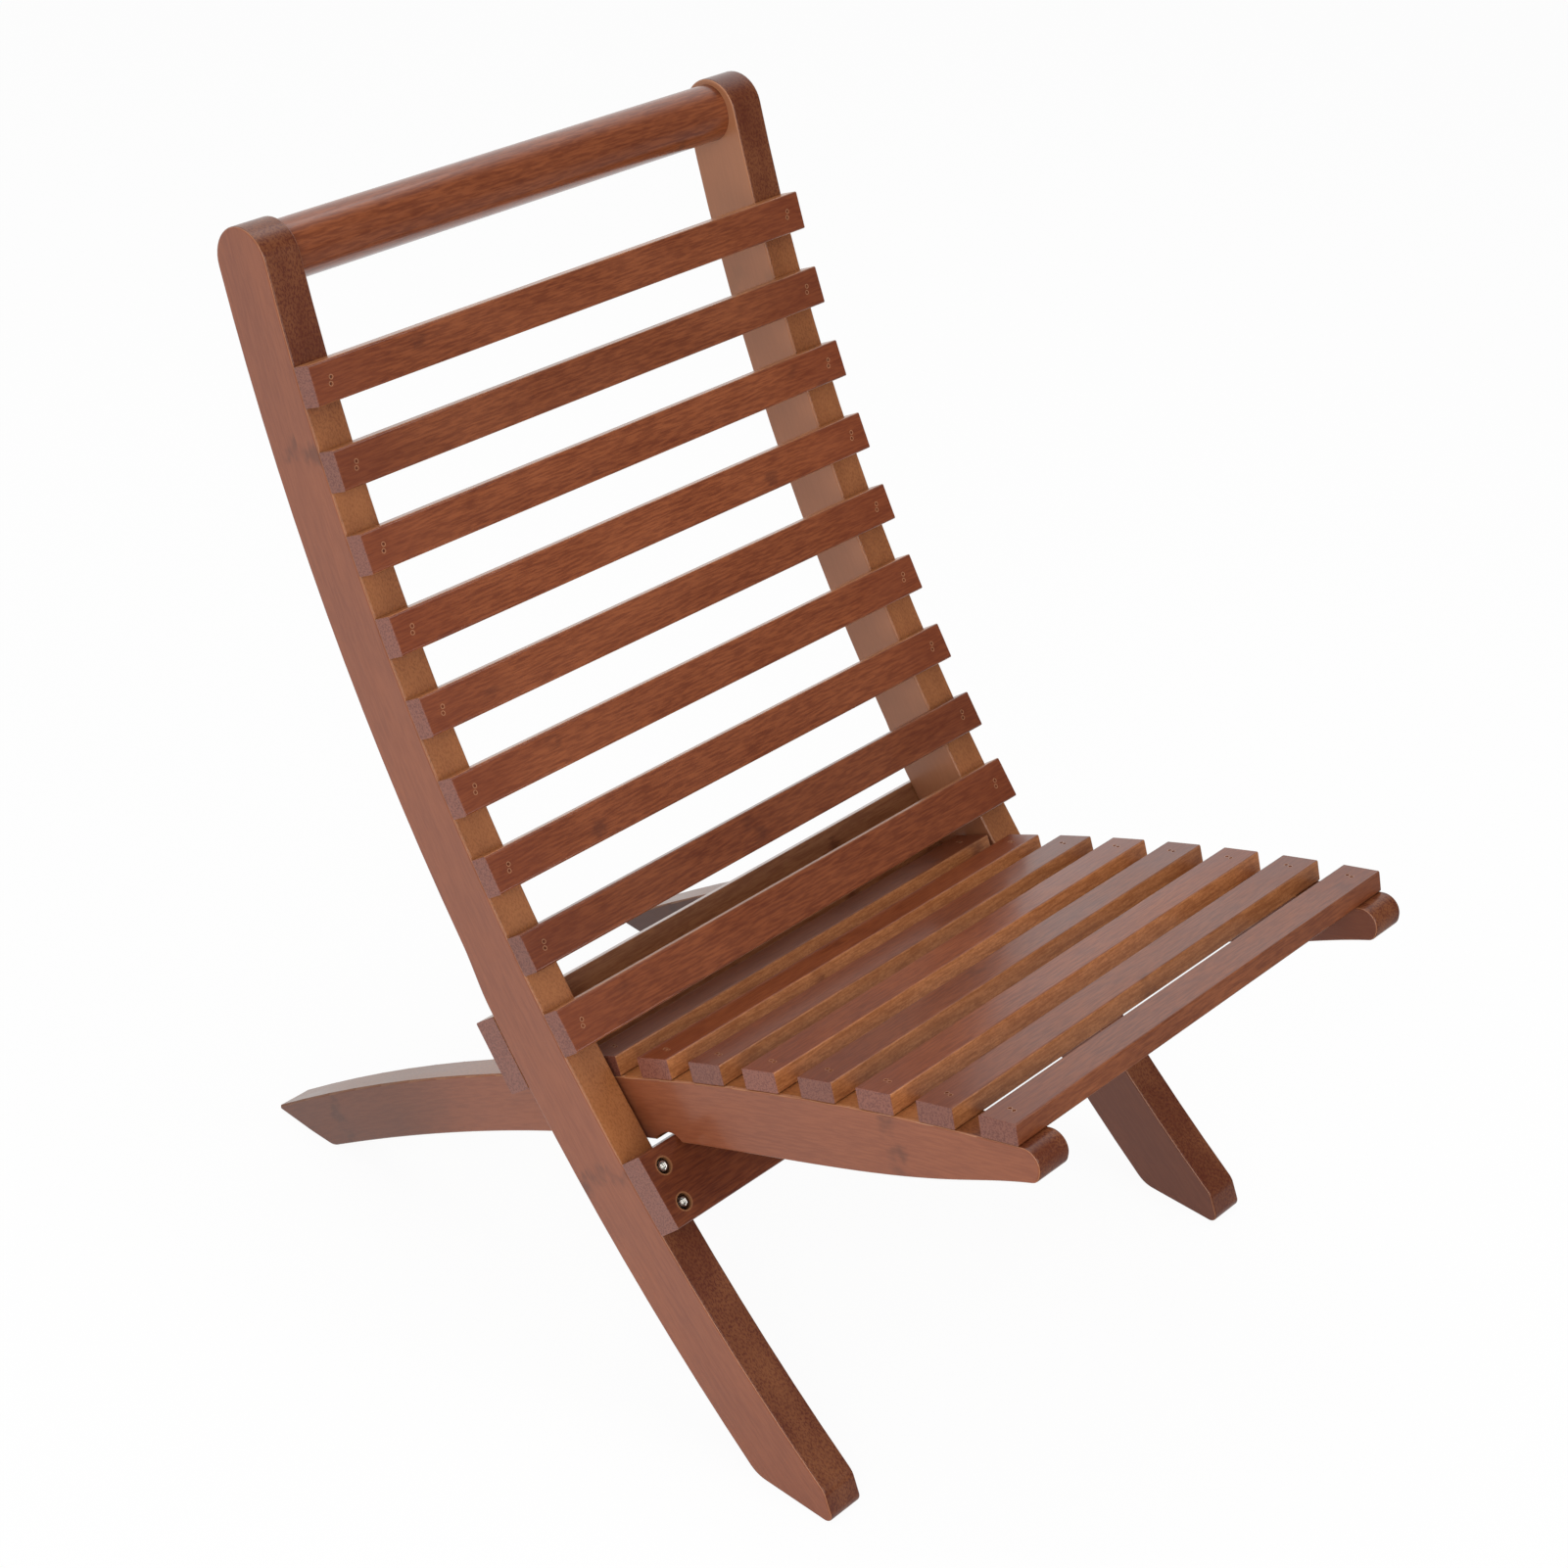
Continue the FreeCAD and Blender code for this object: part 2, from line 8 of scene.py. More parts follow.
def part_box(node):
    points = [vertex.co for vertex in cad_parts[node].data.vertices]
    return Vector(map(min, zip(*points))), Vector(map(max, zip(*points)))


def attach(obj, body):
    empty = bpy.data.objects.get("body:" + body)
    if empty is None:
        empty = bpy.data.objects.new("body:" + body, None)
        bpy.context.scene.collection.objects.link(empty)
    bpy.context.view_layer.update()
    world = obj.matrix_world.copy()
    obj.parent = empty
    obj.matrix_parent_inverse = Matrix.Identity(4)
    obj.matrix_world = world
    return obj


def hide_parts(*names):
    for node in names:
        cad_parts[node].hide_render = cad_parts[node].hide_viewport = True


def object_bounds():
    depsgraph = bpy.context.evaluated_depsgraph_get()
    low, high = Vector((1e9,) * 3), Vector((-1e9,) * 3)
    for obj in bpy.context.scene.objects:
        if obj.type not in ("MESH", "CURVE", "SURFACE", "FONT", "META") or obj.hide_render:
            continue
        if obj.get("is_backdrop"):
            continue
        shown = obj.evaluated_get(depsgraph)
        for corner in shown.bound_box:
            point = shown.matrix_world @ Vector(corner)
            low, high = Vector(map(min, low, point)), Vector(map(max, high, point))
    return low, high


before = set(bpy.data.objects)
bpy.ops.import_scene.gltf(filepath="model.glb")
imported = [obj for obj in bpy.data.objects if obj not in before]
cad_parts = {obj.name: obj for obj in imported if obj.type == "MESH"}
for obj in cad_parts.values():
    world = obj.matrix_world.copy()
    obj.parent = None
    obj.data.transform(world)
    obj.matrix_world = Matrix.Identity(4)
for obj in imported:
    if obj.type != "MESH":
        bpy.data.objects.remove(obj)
cad_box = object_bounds()

# %% [markdown]
# # A slatted lounge chair in lacquered bamboo
# The chair is two ladders of bamboo that hook into each other: a tall back frame
# whose rails run down to be the front legs, and a seat frame whose rails run back
# to be the rear legs. The frame holds the exact solids. Here they get their finish,
# and the pieces that repeat, slats, brads and bolts, are made again with more care.

# %% Small helpers for meshes and nodes
MM = 0.001


def add(tree, kind, inputs=None, **settings):
    made = tree.nodes.new(kind)
    for name, value in settings.items():
        setattr(made, name, value)
    for name, value in (inputs or {}).items():
        if isinstance(value, bpy.types.NodeSocket):
            tree.links.new(value, made.inputs[name])
        else:
            made.inputs[name].default_value = value
    return made


def maths(tree, operation, *values, clamp=False):
    inputs = {index: value for index, value in enumerate(values)}
    kind = "ShaderNodeMath"
    return add(tree, kind, inputs, operation=operation, use_clamp=clamp).outputs[0]


def new_mesh_object(name, mesh):
    made = bpy.data.objects.new(name, mesh)
    bpy.context.scene.collection.objects.link(made)
    return made


def plain_mesh(source, name):
    bpy.context.view_layer.update()
    graph = bpy.context.evaluated_depsgraph_get()
    mesh = bpy.data.meshes.new_from_object(source.evaluated_get(graph), depsgraph=graph)
    mesh.name = name
    return mesh


def smooth_faces(mesh, angle=40.0):
    mesh.shade_smooth()
    mesh.set_sharp_from_angle(angle=math.radians(angle))
    for face in mesh.polygons:
        face.use_smooth = max(abs(part) for part in face.normal) < 0.999


# %% [markdown]
# ## The curves that the ladders follow
# Both ladders follow a large circle, seen from the side. The back frame's circle
# has its centre in front of the chair and the seat's circle has its centre below it.
# The slats sit on the circles at an even pitch, so two numbers, a first angle
# and a step, place a whole row. Only the lowest back slat and the rear seat slat are
# wider and sit a little off the pitch, so each of them keeps its own angle.

# %% Curves and rows, in metres and radians
BACK_CENTRE = (-1181.73 * MM, 1335.87 * MM)
BACK_RADIUS = 1606.0 * MM
BACK_LEAN = math.radians(20.85)
SEAT_CENTRE = (-916.6 * MM, -1630.1 * MM)
SEAT_RADIUS = 2075.2 * MM
BACK_SLAT_WIDTH = 29.5 * MM
SEAT_SLAT_WIDTH = 31.0 * MM
SLAT_THICK = 16.0 * MM
SLAT_ROUND = 1.2 * MM
ODD_SLAT_WIDTH = 34.0 * MM
BACK_SLATS = 9
SEAT_SLATS = 8
BACK_HALF = 254.0 * MM
SEAT_HALF = 216.5 * MM
BACK_RAIL_X = 238.0 * MM
SEAT_RAIL_X = 200.5 * MM


def slat_angles(prefix, count, centre):
    angles = []
    for number in range(1, count + 1):
        low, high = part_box(f"{prefix}_{number}")
        y = (low[1] + high[1]) / 2.0 - centre[0]
        z = (low[2] + high[2]) / 2.0 - centre[1]
        angles.append(math.atan2(z, y))
    return angles


back_angles = slat_angles("back_slat", BACK_SLATS, BACK_CENTRE)
seat_angles = slat_angles("seat_slat", SEAT_SLATS, SEAT_CENTRE)
BACK_FIRST = back_angles[0]
BACK_STEP = (back_angles[-2] - back_angles[0]) / (BACK_SLATS - 2)
SEAT_STEP = (seat_angles[-1] - seat_angles[1]) / (SEAT_SLATS - 2)
SEAT_FIRST = seat_angles[1] - SEAT_STEP
LOWEST_SHIFT = back_angles[-1] - BACK_FIRST - BACK_STEP * (BACK_SLATS - 1)
REAR_SHIFT = seat_angles[0] - SEAT_FIRST
BACK_CHORD = math.sqrt(BACK_RADIUS ** 2 - (BACK_SLAT_WIDTH / 2.0) ** 2)
print("back row:", round(math.degrees(BACK_FIRST), 3), round(math.degrees(BACK_STEP), 4))
print("seat row:", round(math.degrees(SEAT_FIRST), 3), round(math.degrees(SEAT_STEP), 4))

# %% [markdown]
# ## One slat blank
# Each slat is a straight stick of bamboo, planed flat, with its edges just eased
# by sanding and two small brads through each end. A box with bevelled edges is enough,
# and a Boolean sinks the brad holes. It is made once, lying at the origin, and a node
# tree lays copies along the curve.

# %% Slat blank
BRAD_HEAD = 2.6 * MM
BRAD_SINK = 0.6 * MM
BRAD_SPACING = 4.5 * MM
BRAD_SKEW = 1.6 * MM


def pair_places(reach, spacing, skew):
    return [(side * reach + row * skew / 2.0, row * spacing / 2.0)
            for side in (-1.0, 1.0) for row in (-1.0, 1.0)]


def slat_blank(name, half_length, rail_x, width):
    shape = bmesh.new()
    bmesh.ops.create_cube(shape, size=1.0)
    for corner in shape.verts:
        corner.co = Vector((corner.co.x * half_length * 2.0, corner.co.y * width,
                            (corner.co.z + 0.5) * SLAT_THICK))
    long_edges = [e for e in shape.edges if abs(e.verts[0].co.x - e.verts[1].co.x) > 0.1]
    bmesh.ops.bevel(shape, geom=long_edges, offset=SLAT_ROUND, segments=4, affect="EDGES", profile=0.5)
    ends = [e for e in shape.edges if abs(abs(e.verts[0].co.x) - half_length) < 1e-6
            and abs(abs(e.verts[1].co.x) - half_length) < 1e-6]
    bmesh.ops.bevel(shape, geom=ends, offset=0.35 * MM, segments=2, affect="EDGES", profile=0.5)
    mesh = bpy.data.meshes.new(name)
    shape.to_mesh(mesh)
    shape.free()
    blank = new_mesh_object(name, mesh)

    drills = bmesh.new()
    for x, y in pair_places(rail_x, BRAD_SPACING, BRAD_SKEW):
        place = Matrix.Translation((x, y, SLAT_THICK))
        bmesh.ops.create_cone(drills, cap_ends=True, segments=20, radius1=BRAD_HEAD / 2.0 * 0.96,
                              radius2=BRAD_HEAD / 2.0 * 1.08, depth=2.0 * BRAD_SINK, matrix=place)
    drill_mesh = bpy.data.meshes.new(name + "_drills")
    drills.to_mesh(drill_mesh)
    drills.free()
    drill = new_mesh_object(name + "_drills", drill_mesh)
    cut = blank.modifiers.new("holes", "BOOLEAN")
    cut.object = drill
    cut.solver = "EXACT"
    done = plain_mesh(blank, name)
    blank.modifiers.clear()
    blank.data = done
    bpy.data.objects.remove(drill)
    smooth_faces(done)
    return blank


lowest_blank = slat_blank("lowest_back_slat_blank", BACK_HALF, BACK_RAIL_X, ODD_SLAT_WIDTH)
rear_blank = slat_blank("rear_seat_slat_blank", SEAT_HALF, SEAT_RAIL_X, ODD_SLAT_WIDTH)
back_blank = slat_blank("back_slat_blank", BACK_HALF, BACK_RAIL_X, BACK_SLAT_WIDTH)
seat_blank = slat_blank("seat_slat_blank", SEAT_HALF, SEAT_RAIL_X, SEAT_SLAT_WIDTH)
print("slat blank faces:", len(back_blank.data.polygons), len(seat_blank.data.polygons))

# %% [markdown]
# ## A node tree that lays slats along a circle
# The tree makes one point for each slat, moves it out to the circle, turns the blank
# to stand on it, and gives each slat its own number between 0 and 1, which the
# finish reads as the tone of that stick. It marks the last stick, whose narrow sides
# mostly take the deep red of the wide faces, and keeps the place of each point within its
# own stick, so that the grain runs along every slat.

# %% Slat row tree
ARC_SOCKETS = (("Count", "NodeSocketInt"), ("Radius", "NodeSocketFloat"), ("First Angle", "NodeSocketFloat"),
               ("Step Angle", "NodeSocketFloat"), ("Centre Y", "NodeSocketFloat"),
               ("Centre Z", "NodeSocketFloat"), ("Turn", "NodeSocketFloat"), ("Odd Row", "NodeSocketInt"),
               ("Odd Shift", "NodeSocketFloat"))


def arc_tree(name, extra):
    tree = bpy.data.node_groups.new(name, "GeometryNodeTree")
    tree.is_modifier = True
    tree.interface.new_socket("Geometry", in_out="INPUT", socket_type="NodeSocketGeometry")
    tree.interface.new_socket("Blank", in_out="INPUT", socket_type="NodeSocketObject")
    for label, kind in ARC_SOCKETS + extra:
        tree.interface.new_socket(label, in_out="INPUT", socket_type=kind)
    tree.interface.new_socket("Material", in_out="INPUT", socket_type="NodeSocketMaterial")
    tree.interface.new_socket("Geometry", in_out="OUTPUT", socket_type="NodeSocketGeometry")
    return tree, tree.nodes.new("NodeGroupInput").outputs, tree.nodes.new("NodeGroupOutput").inputs


def arc_angle(tree, given, number):
    turned = maths(tree, "MULTIPLY_ADD", number, given["Step Angle"], given["First Angle"])
    odd = maths(tree, "COMPARE", number, given["Odd Row"], 0.5)
    turned = maths(tree, "MULTIPLY_ADD", odd, given["Odd Shift"], turned)
    y = maths(tree, "MULTIPLY_ADD", maths(tree, "COSINE", turned), given["Radius"], given["Centre Y"])
    z = maths(tree, "MULTIPLY_ADD", maths(tree, "SINE", turned), given["Radius"], given["Centre Z"])
    tilt = maths(tree, "ADD", turned, given["Turn"])
    return y, z, tilt


def finish_tree(tree, given, out, geometry):
    real = add(tree, "GeometryNodeRealizeInstances", {"Geometry": geometry}).outputs[0]
    coated = add(tree, "GeometryNodeSetMaterial", {"Geometry": real, "Material": given["Material"]})
    tree.links.new(coated.outputs[0], out[0])


def keep_value(tree, geometry, name, value, kind="FLOAT"):
    return add(tree, "GeometryNodeStoreNamedAttribute", {"Geometry": geometry, "Name": name, "Value": value},
               data_type=kind, domain="POINT").outputs[0]


slat_tree, given, out = arc_tree("slats_on_an_arc", (("Seed", "NodeSocketInt"),))
index = add(slat_tree, "GeometryNodeInputIndex").outputs[0]
y, z, tilt = arc_angle(slat_tree, given, index)
spot = add(slat_tree, "ShaderNodeCombineXYZ", {"Y": y, "Z": z}).outputs[0]
points = add(slat_tree, "GeometryNodePoints", {"Count": given["Count"]}).outputs[0]
points = add(slat_tree, "GeometryNodeSetPosition", {"Geometry": points, "Position": spot}).outputs[0]
tone = add(slat_tree, "FunctionNodeRandomValue", {"ID": index, "Seed": given["Seed"]},
           data_type="FLOAT").outputs[1]
points = keep_value(slat_tree, points, "stick_tone", tone)
last = maths(slat_tree, "MAXIMUM", maths(slat_tree, "SUBTRACT", given["Count"], 1.5), 0.5)
last = maths(slat_tree, "GREATER_THAN", index, last)
points = keep_value(slat_tree, points, "last_stick", last)
blank = add(slat_tree, "GeometryNodeObjectInfo", {"Object": given["Blank"]}).outputs["Geometry"]
here = add(slat_tree, "GeometryNodeInputPosition").outputs[0]
blank = keep_value(slat_tree, blank, "stick_place", here, "FLOAT_VECTOR")
turn = add(slat_tree, "ShaderNodeCombineXYZ", {"X": tilt}).outputs[0]
turn = add(slat_tree, "FunctionNodeEulerToRotation", {0: turn}).outputs[0]
laid = add(slat_tree, "GeometryNodeInstanceOnPoints", {"Points": points, "Instance": blank, "Rotation": turn})
finish_tree(slat_tree, given, out, laid.outputs[0])
print("slat tree nodes:", len(slat_tree.nodes))

# %% [markdown]
# ## A node tree for the fasteners
# Brads and bolts come in fours: a pair at each end of every slat or stretcher. The same
# circle places them, and each point then steps out to its rail and up or down its pair.

# %% Fastener tree
pair_tree, given, out = arc_tree("pairs_on_an_arc", (("Reach", "NodeSocketFloat"), ("Spacing", "NodeSocketFloat"),
                                                     ("Skew", "NodeSocketFloat")))
index = add(pair_tree, "GeometryNodeInputIndex").outputs[0]
row = maths(pair_tree, "MULTIPLY_ADD", maths(pair_tree, "MODULO", index, 2.0), 2.0, -1.0)
half = maths(pair_tree, "FLOOR", maths(pair_tree, "DIVIDE", index, 2.0))
side = maths(pair_tree, "MULTIPLY_ADD", maths(pair_tree, "MODULO", half, 2.0), 2.0, -1.0)
number = maths(pair_tree, "FLOOR", maths(pair_tree, "DIVIDE", index, 4.0))
y, z, tilt = arc_angle(pair_tree, given, number)
up = maths(pair_tree, "MULTIPLY", row, maths(pair_tree, "MULTIPLY", given["Spacing"], 0.5))
y = maths(pair_tree, "MULTIPLY_ADD", maths(pair_tree, "COSINE", tilt), up, y)
z = maths(pair_tree, "MULTIPLY_ADD", maths(pair_tree, "SINE", tilt), up, z)
x = maths(pair_tree, "MULTIPLY_ADD", row, maths(pair_tree, "MULTIPLY", given["Skew"], 0.5),
          maths(pair_tree, "MULTIPLY", side, given["Reach"]))
spot = add(pair_tree, "ShaderNodeCombineXYZ", {"X": x, "Y": y, "Z": z}).outputs[0]
four = maths(pair_tree, "MULTIPLY", given["Count"], 4.0)
points = add(pair_tree, "GeometryNodePoints", {"Count": four}).outputs[0]
points = add(pair_tree, "GeometryNodeSetPosition", {"Geometry": points, "Position": spot}).outputs[0]
blank = add(pair_tree, "GeometryNodeObjectInfo", {"Object": given["Blank"]}).outputs["Geometry"]
turn = add(pair_tree, "ShaderNodeCombineXYZ", {"X": tilt}).outputs[0]
turn = add(pair_tree, "FunctionNodeEulerToRotation", {0: turn}).outputs[0]
laid = add(pair_tree, "GeometryNodeInstanceOnPoints", {"Points": points, "Instance": blank, "Rotation": turn})
finish_tree(pair_tree, given, out, laid.outputs[0])


def run_tree(name, tree, values):
    carrier = new_mesh_object(name + "_carrier", bpy.data.meshes.new(name + "_carrier"))
    modifier = carrier.modifiers.new("row", "NODES")
    modifier.node_group = tree
    for item in tree.interface.items_tree:
        if item.in_out == "INPUT" and item.name in values:
            modifier[item.identifier] = values[item.name]
    mesh = plain_mesh(carrier, name)
    bpy.data.objects.remove(carrier)
    return mesh


def arc_values(blank, count, radius, first, step, centre, turn, material, **more):
    values = {"Blank": blank, "Count": count, "Radius": radius, "First Angle": first, "Step Angle": step,
              "Centre Y": centre[0], "Centre Z": centre[1], "Turn": turn, "Material": material}
    values.update(more)
    return values


print("fastener tree nodes:", len(pair_tree.nodes))

# %% [markdown]
# ## Bamboo grain, once for every piece
# Laminated bamboo is strips glued side by side. It shows fine dark fibres
# along its length, a slow blotchy tone where the stain took unevenly, strips of slightly
# different colour, and now and then a darker band where the cane had a joint. One node
# group makes these as masks, from a place measured along, across and through the stick.

# %% Grain group


def shader_group(name, inputs, outputs):
    tree = bpy.data.node_groups.new(name, "ShaderNodeTree")
    for label, kind, value in inputs:
        made = tree.interface.new_socket(label, in_out="INPUT", socket_type=kind)
        if value is not None:
            made.default_value = value
    for label, kind in outputs:
        tree.interface.new_socket(label, in_out="OUTPUT", socket_type=kind)
    return tree, tree.nodes.new("NodeGroupInput").outputs, tree.nodes.new("NodeGroupOutput").inputs


def ramp(tree, value, low, high, out_low=0.0, out_high=1.0, smooth=True):
    made = add(tree, "ShaderNodeMapRange", {"Value": value, "From Min": low, "From Max": high,
                                            "To Min": out_low, "To Max": out_high},
               interpolation_type="SMOOTHSTEP" if smooth else "LINEAR")
    return made.outputs[0]


def stretched_noise(tree, place, scale, detail, rough=0.6):
    sized = add(tree, "ShaderNodeVectorMath", {0: place, 1: scale}, operation="MULTIPLY").outputs[0]
    return add(tree, "ShaderNodeTexNoise", {"Vector": sized, "Scale": 1.0, "Detail": detail,
                                            "Roughness": rough}).outputs[0]


grain, given, out = shader_group(
    "bamboo_grain",
    (("Place", "NodeSocketVector", None), ("Seed", "NodeSocketFloat", 0.0),
     ("Strip Width", "NodeSocketFloat", 0.011), ("Joint Spacing", "NodeSocketFloat", 0.9),
     ("Joint Shift", "NodeSocketFloat", 0.0), ("Wander", "NodeSocketFloat", 1.0)),
    (("Fibre", "NodeSocketFloat"), ("Blotch", "NodeSocketFloat"), ("Strip", "NodeSocketFloat"),
     ("Joint", "NodeSocketFloat"), ("Speckle", "NodeSocketFloat")))
shift = add(grain, "ShaderNodeCombineXYZ", {"X": maths(grain, "MULTIPLY", given["Seed"], 7.31),
                                            "Y": maths(grain, "MULTIPLY", given["Seed"], 3.17)}).outputs[0]
place = add(grain, "ShaderNodeVectorMath", {0: given["Place"], 1: shift}, operation="ADD").outputs[0]
fine = ramp(grain, stretched_noise(grain, place, (60.0, 620.0, 620.0), 2.0, 0.6), 0.38, 0.62)
wide = ramp(grain, stretched_noise(grain, place, (18.0, 260.0, 260.0), 3.0), 0.34, 0.66)
grain.links.new(maths(grain, "MULTIPLY_ADD", fine, 0.7, maths(grain, "MULTIPLY", wide, 0.3)), out["Fibre"])
grain.links.new(ramp(grain, stretched_noise(grain, place, (10.0, 24.0, 24.0), 3.0), 0.32, 0.70), out["Blotch"])
here = add(grain, "ShaderNodeSeparateXYZ", {0: given["Place"]}).outputs
strip_id = maths(grain, "FLOOR", maths(grain, "DIVIDE", here[1], given["Strip Width"]))
strip_id = maths(grain, "MULTIPLY_ADD", given["Seed"], 5.7, strip_id)
strip_tone = add(grain, "ShaderNodeTexWhiteNoise", {"W": strip_id}, noise_dimensions="1D").outputs[0]
grain.links.new(strip_tone, out["Strip"])
wander = maths(grain, "MULTIPLY", maths(grain, "MULTIPLY", strip_tone, given["Joint Spacing"]), given["Wander"])
along = maths(grain, "ADD", maths(grain, "SUBTRACT", here[0], given["Joint Shift"]), wander)
along = maths(grain, "ADD", maths(grain, "DIVIDE", along, given["Joint Spacing"]), 0.5)
near = maths(grain, "ABSOLUTE", maths(grain, "SUBTRACT", maths(grain, "FRACT", along), 0.5))
near = maths(grain, "MULTIPLY", near, given["Joint Spacing"])
ragged = maths(grain, "SUBTRACT", stretched_noise(grain, place, (70.0, 200.0, 200.0), 3.0), 0.5)
near = maths(grain, "MULTIPLY_ADD", ragged, 0.020, near)
band = ramp(grain, near, 0.011, 0.002)
patchy = ramp(grain, stretched_noise(grain, place, (40.0, 60.0, 60.0), 2.0), 0.36, 0.6)
grain.links.new(maths(grain, "MULTIPLY", band, patchy), out["Joint"])
speckle = stretched_noise(grain, place, (420.0, 760.0, 760.0), 2.0, 0.6)
grain.links.new(ramp(grain, speckle, 0.44, 0.62), out["Speckle"])
print("grain group nodes:", len(grain.nodes))

# %% [markdown]
# ## Where am I on a curved rail?
# A rail's grain follows its bend. Measured from the middle of the circle that it
# follows, the angle gives the way along, the distance gives the depth, and X goes through.
# A second group finds the middle of a rail's rounded corners from the way the surface faces, where a highlight is
# painted.

# %% Curve and corner groups
curve, given, out = shader_group(
    "along_the_curve",
    (("Place", "NodeSocketVector", None), ("Centre Y", "NodeSocketFloat", 0.0),
     ("Centre Z", "NodeSocketFloat", 0.0), ("Radius", "NodeSocketFloat", 1.0)),
    (("Place", "NodeSocketVector"), ("Along", "NodeSocketFloat"), ("Depth", "NodeSocketFloat")))
parts = add(curve, "ShaderNodeSeparateXYZ", {0: given["Place"]}).outputs
y = maths(curve, "SUBTRACT", parts[1], given["Centre Y"])
z = maths(curve, "SUBTRACT", parts[2], given["Centre Z"])
squares = maths(curve, "ADD", maths(curve, "MULTIPLY", y, y), maths(curve, "MULTIPLY", z, z))
far = maths(curve, "SQRT", squares)
along = maths(curve, "MULTIPLY", maths(curve, "ARCTAN2", z, y), given["Radius"])
depth = maths(curve, "SUBTRACT", far, given["Radius"])
curve.links.new(add(curve, "ShaderNodeCombineXYZ", {"X": along, "Y": depth, "Z": parts[0]}).outputs[0], out[0])
curve.links.new(along, out[1])
curve.links.new(depth, out[2])

corner, given, out = shader_group(
    "rail_corners", (("Facing", "NodeSocketVector", None),),
    (("Side Face", "NodeSocketFloat"), ("Corner Highlight", "NodeSocketFloat")))
parts = add(corner, "ShaderNodeSeparateXYZ", {0: given["Facing"]}).outputs
sideways = maths(corner, "ABSOLUTE", parts[0])
corner.links.new(ramp(corner, sideways, 0.35, 0.8), out["Side Face"])
other = maths(corner, "SUBTRACT", 1.0, maths(corner, "MULTIPLY", parts[0], parts[0]), clamp=True)
other = maths(corner, "SQRT", other)
corner.links.new(ramp(corner, maths(corner, "MINIMUM", sideways, other), 0.55, 0.70), out["Corner Highlight"])
print("curve group nodes:", len(curve.nodes), "corner group nodes:", len(corner.nodes))

# %% [markdown]
# ## Where am I on a slat?
# The slat's own place says which face is which: the wide faces took a deep red stain, the
# narrow sides are warmer, and the sawn ends are dull and darker.
# A third output finds the eased long edges, where the lacquer is thin.

# %% Slat face group
stick, given, out = shader_group(
    "stick_faces",
    (("Place", "NodeSocketVector", None), ("Half Length", "NodeSocketFloat", 0.25),
     ("Half Width", "NodeSocketFloat", 0.015)),
    (("Narrow", "NodeSocketFloat"), ("End", "NodeSocketFloat"), ("Edge", "NodeSocketFloat")))
parts = add(stick, "ShaderNodeSeparateXYZ", {0: given["Place"]}).outputs
from_side = maths(stick, "SUBTRACT", given["Half Width"], maths(stick, "ABSOLUTE", parts[1]))
height = maths(stick, "SUBTRACT", parts[2], SLAT_THICK / 2.0)
from_top = maths(stick, "SUBTRACT", SLAT_THICK / 2.0, maths(stick, "ABSOLUTE", height))
from_end = maths(stick, "SUBTRACT", given["Half Length"], maths(stick, "ABSOLUTE", parts[0]))
stick.links.new(ramp(stick, maths(stick, "SUBTRACT", from_top, from_side), -0.0005, 0.0005), out["Narrow"])
stick.links.new(ramp(stick, from_end, 0.0003, 0.0001), out["End"])
both = maths(stick, "MAXIMUM", from_side, from_top)
stick.links.new(ramp(stick, both, 0.0012, 0.0003), out["Edge"])
print("slat face group nodes:", len(stick.nodes))

# %% [markdown]
# ## How far is the nearest fastener?
# Round each brad the lacquer is chipped to a pale rim, and round each bolt the counterbore
# shows a ring of bare tan wood. Both come in the same pairs, so one group
# measures the distance to the nearest of them.

# %% Fastener distance group
pairs, given, out = shader_group(
    "pair_distance",
    (("X", "NodeSocketFloat", 0.0), ("Y", "NodeSocketFloat", 0.0), ("Reach", "NodeSocketFloat", 0.2),
     ("Spacing", "NodeSocketFloat", 0.01), ("Skew", "NodeSocketFloat", 0.0)),
    (("Distance", "NodeSocketFloat"),))
which = maths(pairs, "SIGN", given["Y"])
skewed = maths(pairs, "MULTIPLY", which, maths(pairs, "MULTIPLY", given["Skew"], 0.5))
shifted = maths(pairs, "SUBTRACT", given["X"], skewed)
dx = maths(pairs, "SUBTRACT", maths(pairs, "ABSOLUTE", shifted), given["Reach"])
half_spacing = maths(pairs, "MULTIPLY", given["Spacing"], 0.5)
dy = maths(pairs, "SUBTRACT", maths(pairs, "ABSOLUTE", given["Y"]), half_spacing)
total = maths(pairs, "ADD", maths(pairs, "MULTIPLY", dx, dx), maths(pairs, "MULTIPLY", dy, dy))
pairs.links.new(maths(pairs, "SQRT", total), out["Distance"])
print("fastener distance group nodes:", len(pairs.nodes))

# %% [markdown]
# ## The lacquer
# All the bamboo has the same finish: stain under a satin clear lacquer. The base layer
# carries the grain colour, and a thin coat on top gives the soft white sheen. Colours
# go through small Mix nodes, and the helper below builds the shader that they feed.

# %% Lacquer helpers
LACQUER_IOR = 1.45
RIDGE_HEIGHT = 0.0002


def blend_colour(tree, amount, first, second, mode="MIX"):
    made = add(tree, "ShaderNodeMix", data_type="RGBA", blend_type=mode)
    for spot, value in ((0, amount), (6, first), (7, second)):
        if isinstance(value, bpy.types.NodeSocket):
            tree.links.new(value, made.inputs[spot])
        else:
            made.inputs[spot].default_value = value if spot == 0 else (*value, 1.0)
    return made.outputs[2]


def new_material(name):
    made = bpy.data.materials.new(name)
    made.use_nodes = True
    made.node_tree.nodes.clear()
    return made, made.node_tree


